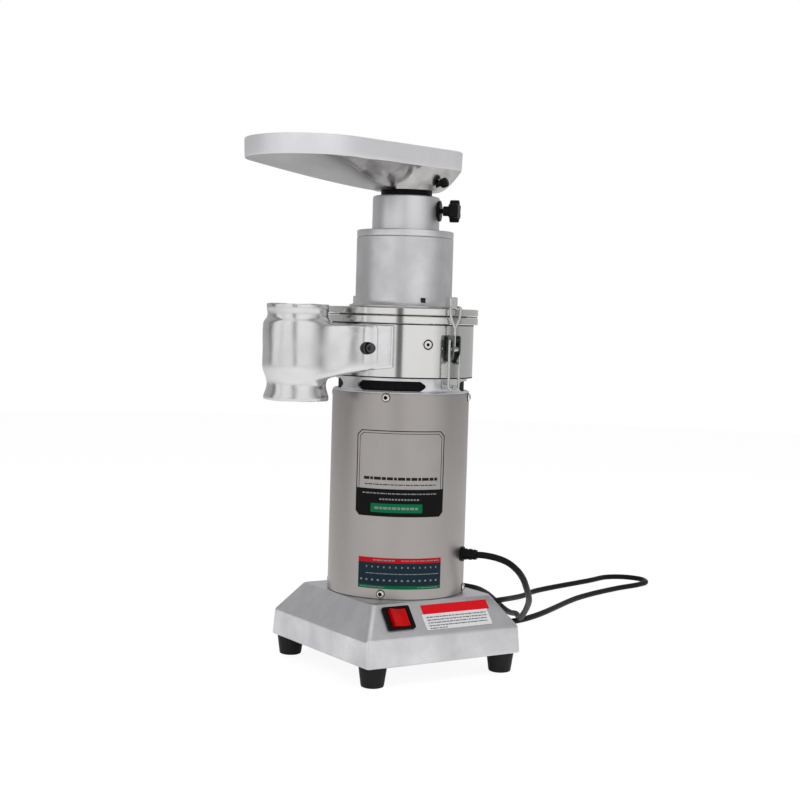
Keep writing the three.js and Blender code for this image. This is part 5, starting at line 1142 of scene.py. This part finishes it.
def tray_reach(angle, inset):
    """How far the teardrop reaches from the boss's axis: two round ends and the walls that touch both."""
    x, y = math.cos(angle), abs(math.sin(angle))
    far, nose = far_radius - inset, nose_radius - inset
    lean = math.asin((far - nose) / (far_centre + nose_centre))
    normal = (math.sin(lean), math.cos(lean))
    facing = x * normal[0] + y * normal[1]

    def on_end(centre, radius):
        return centre * x + math.sqrt(max(radius**2 - (centre * y) ** 2, 0))

    wall = (nose + nose_centre * normal[0]) / facing if facing > 0 else 0
    if facing <= 0 or wall * x < -far_centre + far * normal[0]:
        return on_end(-far_centre, far)
    if wall * x > nose_centre + nose * normal[0]:
        return on_end(nose_centre, nose)
    return wall


def eased(value, low, high):
    share = min(max((value - low) / (high - low), 0), 1)
    return share * share * (3 - 2 * share)


def belly(angle, share):
    """Height share of the underside at a share of the way from the boss to the crease."""
    from_far = abs(angle - math.pi)
    leaving = eased(from_far, chute_half, chute_half + chute_blend)
    nearing = eased(from_far, nose_from, nose_to)
    side = leaving * (1 - nearing)
    return share ** (chute_power * (1 - side - nearing) + side_power * side + nose_power * nearing)


def tray_direction(station):
    """Direction of a station round the boss, closer together towards the far end."""
    turn = station / tray_sides * 2
    bunched = math.pi * (1 - (abs(1 - turn)) ** tray_bunching)
    return bunched if turn <= 1 else math.tau - bunched


tray_rings = []
for i in range(belly_rings + 1):
    share = i / belly_rings
    tray_rings.append((
        lambda angle, share=share: boss_radius + (tray_reach(angle, tray_draft) - boss_radius) * share,
        lambda angle, share=share: tray_low + (tray_crease - tray_low) * belly(angle, share),
    ))
for inset, height in (
    (tray_draft * 0.6, tray_crease + 0.0010), (tray_draft * 0.4, tray_crease + 0.0045),
    (0, tray_high - tray_lip * 1.6), (0, tray_high - tray_lip),
    (tray_lip * 0.12, tray_high - tray_lip * 0.45), (tray_lip * 0.5, tray_high - tray_lip * 0.1),
    (tray_lip, tray_high), (tray_wall - tray_lip, tray_high),
    (tray_wall - tray_lip * 0.5, tray_high - tray_lip * 0.1),
    (tray_wall - tray_lip * 0.12, tray_high - tray_lip * 0.45), (tray_wall, tray_high - tray_lip),
    (tray_wall + tray_draft * 0.8, tray_floor + 0.004), (floor_inset + 0.0012, tray_floor + 0.0012),
):
    tray_rings.append((
        lambda angle, inset=inset: tray_reach(angle, inset),
        lambda angle, height=height: height,
    ))
for i in range(floor_rings - 1, -1, -1):
    share = i / floor_rings
    tray_rings.append((
        lambda angle, share=share: throat_radius + (tray_reach(angle, floor_inset) - throat_radius) * share,
        lambda angle, share=share: tray_throat + (tray_floor - tray_throat) * share,
    ))
for radius, height in ((throat_radius, socket_top), (tube_bore, socket_top), (tube_bore, tray_low)):
    tray_rings.append((lambda angle, radius=radius: radius, lambda angle, height=height: height))

tray = bmesh.new()
station = tray.verts.layers.int.new("station")
ring = bmesh.ops.create_circle(tray, segments=tray_sides, radius=1)["verts"]
for i, vert in enumerate(ring):
    vert[station] = i
first_edges = edges = tray.edges[:]
for level, (reach_of, height_of) in enumerate(tray_rings):
    if level:
        grown = bmesh.ops.extrude_edge_only(tray, edges=edges)["geom"]
        ring = [item for item in grown if isinstance(item, bmesh.types.BMVert)]
        edges = [item for item in grown if isinstance(item, bmesh.types.BMEdge)
                 and item.verts[0] in ring and item.verts[1] in ring]
    for vert in ring:
        angle = tray_direction(vert[station])
        reach = reach_of(angle)
        vert.co = (axis_x + reach * math.cos(angle), reach * math.sin(angle), height_of(angle))
bmesh.ops.bridge_loops(tray, edges=list(first_edges) + edges)
face_outwards(tray)

tray_knob_angle = math.radians(300)
tray_knob_tilt = math.radians(20)
knob_frame = on_wall(tray_knob_angle, boss_radius, tray_low + 0.005) @ swing(-tray_knob_tilt, "Y")
knob_path = lathe([
    (0, -0.012), (0.0022, -0.012), (0.0022, 0.0054), (0.0059, 0.0054), (0.0059, 0.026), (0, 0.026),
], 48)
knob_path.transform(knob_frame)
tray = combine(tray, knob_path)
blasted = finish("blasted_aluminium", (0.76, 0.755, 0.78), 0.50, 0.75, grain_scale=900, grain=0.14,
                 cloud_scale=26, clouds=0.16, relief=0.0002, strength=0.4)
# Darker copies of the tray's aluminium for the faces that look down: painted shade.
chute_painted_shade = finish("chute_painted_shade", (0.36, 0.36, 0.365), 0.36, 0.95, grain_scale=700, grain=0.14,
                     cloud_scale=24, clouds=0.25, relief=0.0002, strength=0.4)
belly_painted_shade = finish("belly_painted_shade", (0.50, 0.49, 0.475), 0.17, 1.0, grain_scale=14, grain=0.3,
                      cloud_scale=46, clouds=0.7, relief=0.006, strength=0.16)
# Faces below the crease that look down, away from the boss, take the darker copies: painted shade.
for face in tray.faces:
    middle = face.calc_center_median()
    across, along = middle.y, middle.x - axis_x
    below = face.normal.z < 0 and middle.z < tray_crease + 0.0004
    if below and math.hypot(along, across) > throat_radius + 0.004:
        from_far = abs(math.atan2(across, -along))
        face.material_index = 1 if from_far < chute_half - chute_blend * 0.2 else 2
hopper = settle(tray, "hopper_tray", "tray_body", blasted, "cast_aluminium", "tray", sharp=42)
for material in (chute_painted_shade, belly_painted_shade):
    hopper.data.materials.append(material)

# Tray knob: a small black thumb screw that clamps the tray's boss on the feed tube, canted upwards,
# with a fluted grip.
grip_flutes = 12
knob = lathe([
    (0, -0.0070), (0.0019, -0.0070), (0.0019, 0.006), (0.0034, 0.006), (0.0043, 0.0066), (0.0050, 0.0078),
    (0.0050, 0.0124), (0.0044, 0.0134), (0.0034, 0.014), (0, 0.014),
], 48)
for flute in range(grip_flutes):
    groove = rod_between(0.0072, 0.016, 0.0006, 8)
    groove.transform(swing(flute / grip_flutes * math.tau, "Z") @ shift(0.0052, 0, 0))
    knob = combine(knob, groove)
knob.transform(knob_frame)
settle(knob, "thumb_screw", "tray_knob_body", plastic_black, "black_plastic", "tray_knob", sharp=35)

# Latches: a pair of over-centre wire latches, front and back, of zinc-plated steel. A folded hook on the
# vent ring holds a wire link; the lever swings on the link, and carries the rod that the bail hangs on.
latch_wire = 0.00135
pin_reach = 0.083
pin_height = drum_low + 0.040
rod_height = pin_height - 0.009
rod_radius = 0.0015
lever_half = 0.005
lever_sheet = 0.0012
lever_back, lever_front = pin_reach - 0.0045, pin_reach + 0.004
lever_low, lever_high = pin_height - 0.022, pin_height + 0.005
lever_lip = 0.0035
lip_foot = lever_back + 0.0040
lever_taper, taper_from = 0.26, rod_height - 0.0045
wire_play = 0.0003
hook_back = 0.0698
hook_face = hook_back + 0.0015
hook_reach = 0.086
hook_half = 0.0045
hook_tab = vent_bottom + 0.0082
link_half = 0.0068
link_foot = hook_tab - 0.0002 - latch_wire
bail_half = 0.0068
eye_radius, eye_half = 0.0031, 0.0035
bail_bar_reach = 0.0692
bail_bar = lid_high + 0.0017
bail_fork = rod_height + 0.0235
bail_shoulder = bail_fork + 0.0105
bail_bends = (0.002, 0.006, 0.0022, 0.0022, 0.0022, 0.0022, 0.006, 0.002)
zinc = finish("zinc_plate", (0.20, 0.22, 0.20), 0.32, 1.0, grain_scale=700, grain=0.25, cloud_scale=120,
              clouds=0.5, relief=0.00005)
bright_zinc = finish("bright_zinc", (0.56, 0.58, 0.56), 0.28, 1.0, grain_scale=700, grain=0.2,
                     cloud_scale=120, clouds=0.3, relief=0.00004)


def on_rim(angle):
    """Place for a latch part drawn with y outwards from the axis."""
    return shift(axis_x, 0, 0) @ swing(angle - math.pi / 2, "Z")


def folded_strip(outline, half_width):
    """Sheet seen edge-on, as wide as the latch part: an outline of reach and height."""
    bm = prism(outline, -half_width, half_width, to_side=True)
    bm.transform(swing(math.pi / 2, "Z"))
    return bm


def cross_rod(radius, half_length, reach, height, edge=0.0):
    rod = lathe([(0, -half_length), (radius - edge, -half_length), (radius, -half_length + edge),
                 (radius, half_length - edge), (radius - edge, half_length), (0, half_length)], 32)
    rod.transform(shift(0, reach, height) @ swing(math.pi / 2, "Y"))
    return rod


def rounded_path(points, closed=True, bends=(0.0022,)):
    """The points with a small round bend at each."""
    path = []
    count = len(points)
    for i, point in enumerate(points):
        if not closed and i in (0, count - 1):
            path.append(point)
            continue
        before, after = points[i - 1], points[(i + 1) % count]
        bend = bends[i % len(bends)]
        start = point + (before - point).normalized() * min(bend, (before - point).length / 2.2)
        end = point + (after - point).normalized() * min(bend, (after - point).length / 2.2)
        path += [start, *curve_between(start, point, end, 5)]
    return path


for name, angle in latch_angles.items():
    stand = on_rim(angle)
    hook = folded_strip([
        (hook_back, hook_tab - 0.0035), (hook_face, hook_tab - 0.0035), (hook_face, hook_tab),
        (hook_reach - 0.0015, hook_tab), (hook_reach - 0.0015, hook_tab - 0.0035),
        (hook_reach, hook_tab - 0.0035), (hook_reach, hook_tab + 0.002), (hook_face, hook_tab + 0.002),
        (hook_face, hook_tab + 0.0055), (hook_back, hook_tab + 0.0055),
    ], hook_half)
    for vert in hook.verts:
        if vert.co.y > hook_face + 0.001:
            vert.co.x *= 0.5
    hook.transform(stand)
    settle(hook, f"{name}_hook", "root", bright_zinc, "zinc_steel", f"latch_{name}_hook", soften=0.0003)

    right = [Vector((x, pin_reach, height)) for x, height in (
        (0.0034, pin_height), (link_half, pin_height), (link_half, link_foot))]
    left = [Vector((-point.x, point.y, point.z)) for point in reversed(right)]
    bent_rod(f"{name}_link", [stand @ point for point in rounded_path([*right, *left], closed=False)],
             latch_wire, bright_zinc, "root", "zinc_steel", f"latch_{name}_link")

    side = rounded_path([Vector(point) for point in (
        (lever_back, lever_low), (lip_foot, lever_low), (lever_front, rod_height - 0.005),
        (lever_front, lever_high), (lever_back, lever_high))], bends=(0.0004, 0.0004, 0.003, 0.0035, 0.0015))
    lever = folded_strip(side, lever_half)
    lever_length = lever_high - lever_low
    lever = combine(lever, block((lever_half * 2 - lever_sheet * 2, 0.02, lever_length + 0.01), shift(
        0, lever_back + lever_sheet + 0.01, (lever_high + lever_low) / 2)))
    lever = combine(lever, folded_strip([
        (lever_back + 0.0001, lever_low - 0.0001), (lever_back + 0.0003, lever_low + lever_sheet),
        (lip_foot, lever_low + lever_sheet), (lip_foot + lever_lip, lever_low - lever_sheet),
        (lip_foot + lever_lip, lever_low - lever_sheet * 2), (lip_foot, lever_low - 0.0001),
    ], lever_half - 0.00005), "UNION")
    lever = combine(lever, cross_rod(latch_wire + wire_play, lever_half + 0.006, pin_reach, pin_height))
    lever = combine(lever, cross_rod(rod_radius + wire_play, lever_half + 0.006, pin_reach, rod_height))
    for vert in lever.verts:
        down = (taper_from - vert.co.z) / (taper_from - lever_low)
        vert.co.x *= 1 - lever_taper * min(max(down, 0), 1)
    lever.transform(stand)
    settle(lever, f"{name}_lever", f"latch_{name}_lever_body", zinc, "zinc_steel", f"latch_{name}_lever",
           soften=0.00025)
    rod = cross_rod(rod_radius, lever_half, pin_reach, rod_height, 0.0003)
    rod.transform(stand)
    settle(rod, f"{name}_rod", f"latch_{name}_lever_body", screw_steel, "zinc_steel", f"latch_{name}_rod")

    right = [Vector(point) for point in (
        (latch_wire / 2, pin_reach, bail_fork - latch_wire), (bail_half, pin_reach, bail_shoulder),
        (bail_half, pin_reach, bail_bar), (bail_half, bail_bar_reach, bail_bar))]
    left = [Vector((-point.x, point.y, point.z)) for point in reversed(right)]
    loop = [stand @ point for point in rounded_path([*right, *left], bends=bail_bends)]
    bent_rod(f"{name}_bail_loop", loop, latch_wire, bright_zinc, f"latch_{name}_bail_body", "zinc_steel",
             closed=True)
    eye = cross_rod(eye_radius, eye_half, pin_reach, rod_height, 0.0004)
    stem = rod_between(rod_height + 0.0024, bail_fork, latch_wire, 24)
    stem.transform(shift(0, pin_reach, 0))
    eye = combine(eye, stem, "UNION")
    eye = combine(eye, cross_rod(rod_radius + wire_play, 0.01, pin_reach, rod_height))
    eye.transform(stand)
    settle(eye, f"{name}_bail_eye", f"latch_{name}_bail_body", bright_zinc, "zinc_steel",
           f"latch_{name}_bail", sharp=40)

# Inside and below: the base plate, bearings, motor, fan, liner, screen and beaters keep their solids and
# get the finish of what they are made of.
inner_finishes = {
    "pressed_plate": (("base_plate",), finish(
        "pressed_plate", (0.50, 0.49, 0.48), 0.34, 1.0, stretch=(1, 20, 1), grain=0.15)),
    "cast_inside": (("lower_bracket",), cast_aluminium),
    "lamination": (("stator_core", "rotor_core"), finish(
        "lamination", (0.16, 0.155, 0.15), 0.48, 0.9, stretch=(1, 1, 60), grain_scale=60, grain=0.5,
        relief=0.0003)),
    "enamelled_copper": (("winding_lower", "winding_upper"), finish(
        "enamelled_copper", (0.50, 0.17, 0.05), 0.30, 0.9, stretch=(1, 1, 14), grain_scale=110, grain=0.6,
        relief=0.0006, strength=0.8)),
    "ground_steel": ((
        "shaft", "lower_bearing_inner_race", "lower_bearing_outer_race", "upper_bearing_inner_race",
        "upper_bearing_outer_race", "rotor_nut", "toothed_liner",
    ), finish("ground_steel", (0.55, 0.54, 0.53), 0.22, 1.0, stretch=(1, 1, 18), grain_scale=120,
              grain=0.15)),
    "beater_steel": (("beater_rotor", "screen"), finish(
        "beater_steel", (0.58, 0.57, 0.56), 0.30, 1.0, grain_scale=500, grain=0.2, clouds=0.2)),
    "fan_nylon": (("cooling_fan",), nylon_black),
    "capacitor_case": (("capacitor",), finish(
        "capacitor_case", (0.03, 0.03, 0.035), 0.40, grain_scale=900, grain=0.15)),
    "seal_rubber": (("shaft_seal",), rubber_black),
}
for nodes, material in inner_finishes.values():
    for node in nodes:
        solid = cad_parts[node]
        solid.data.materials.clear()
        solid.data.materials.append(material)
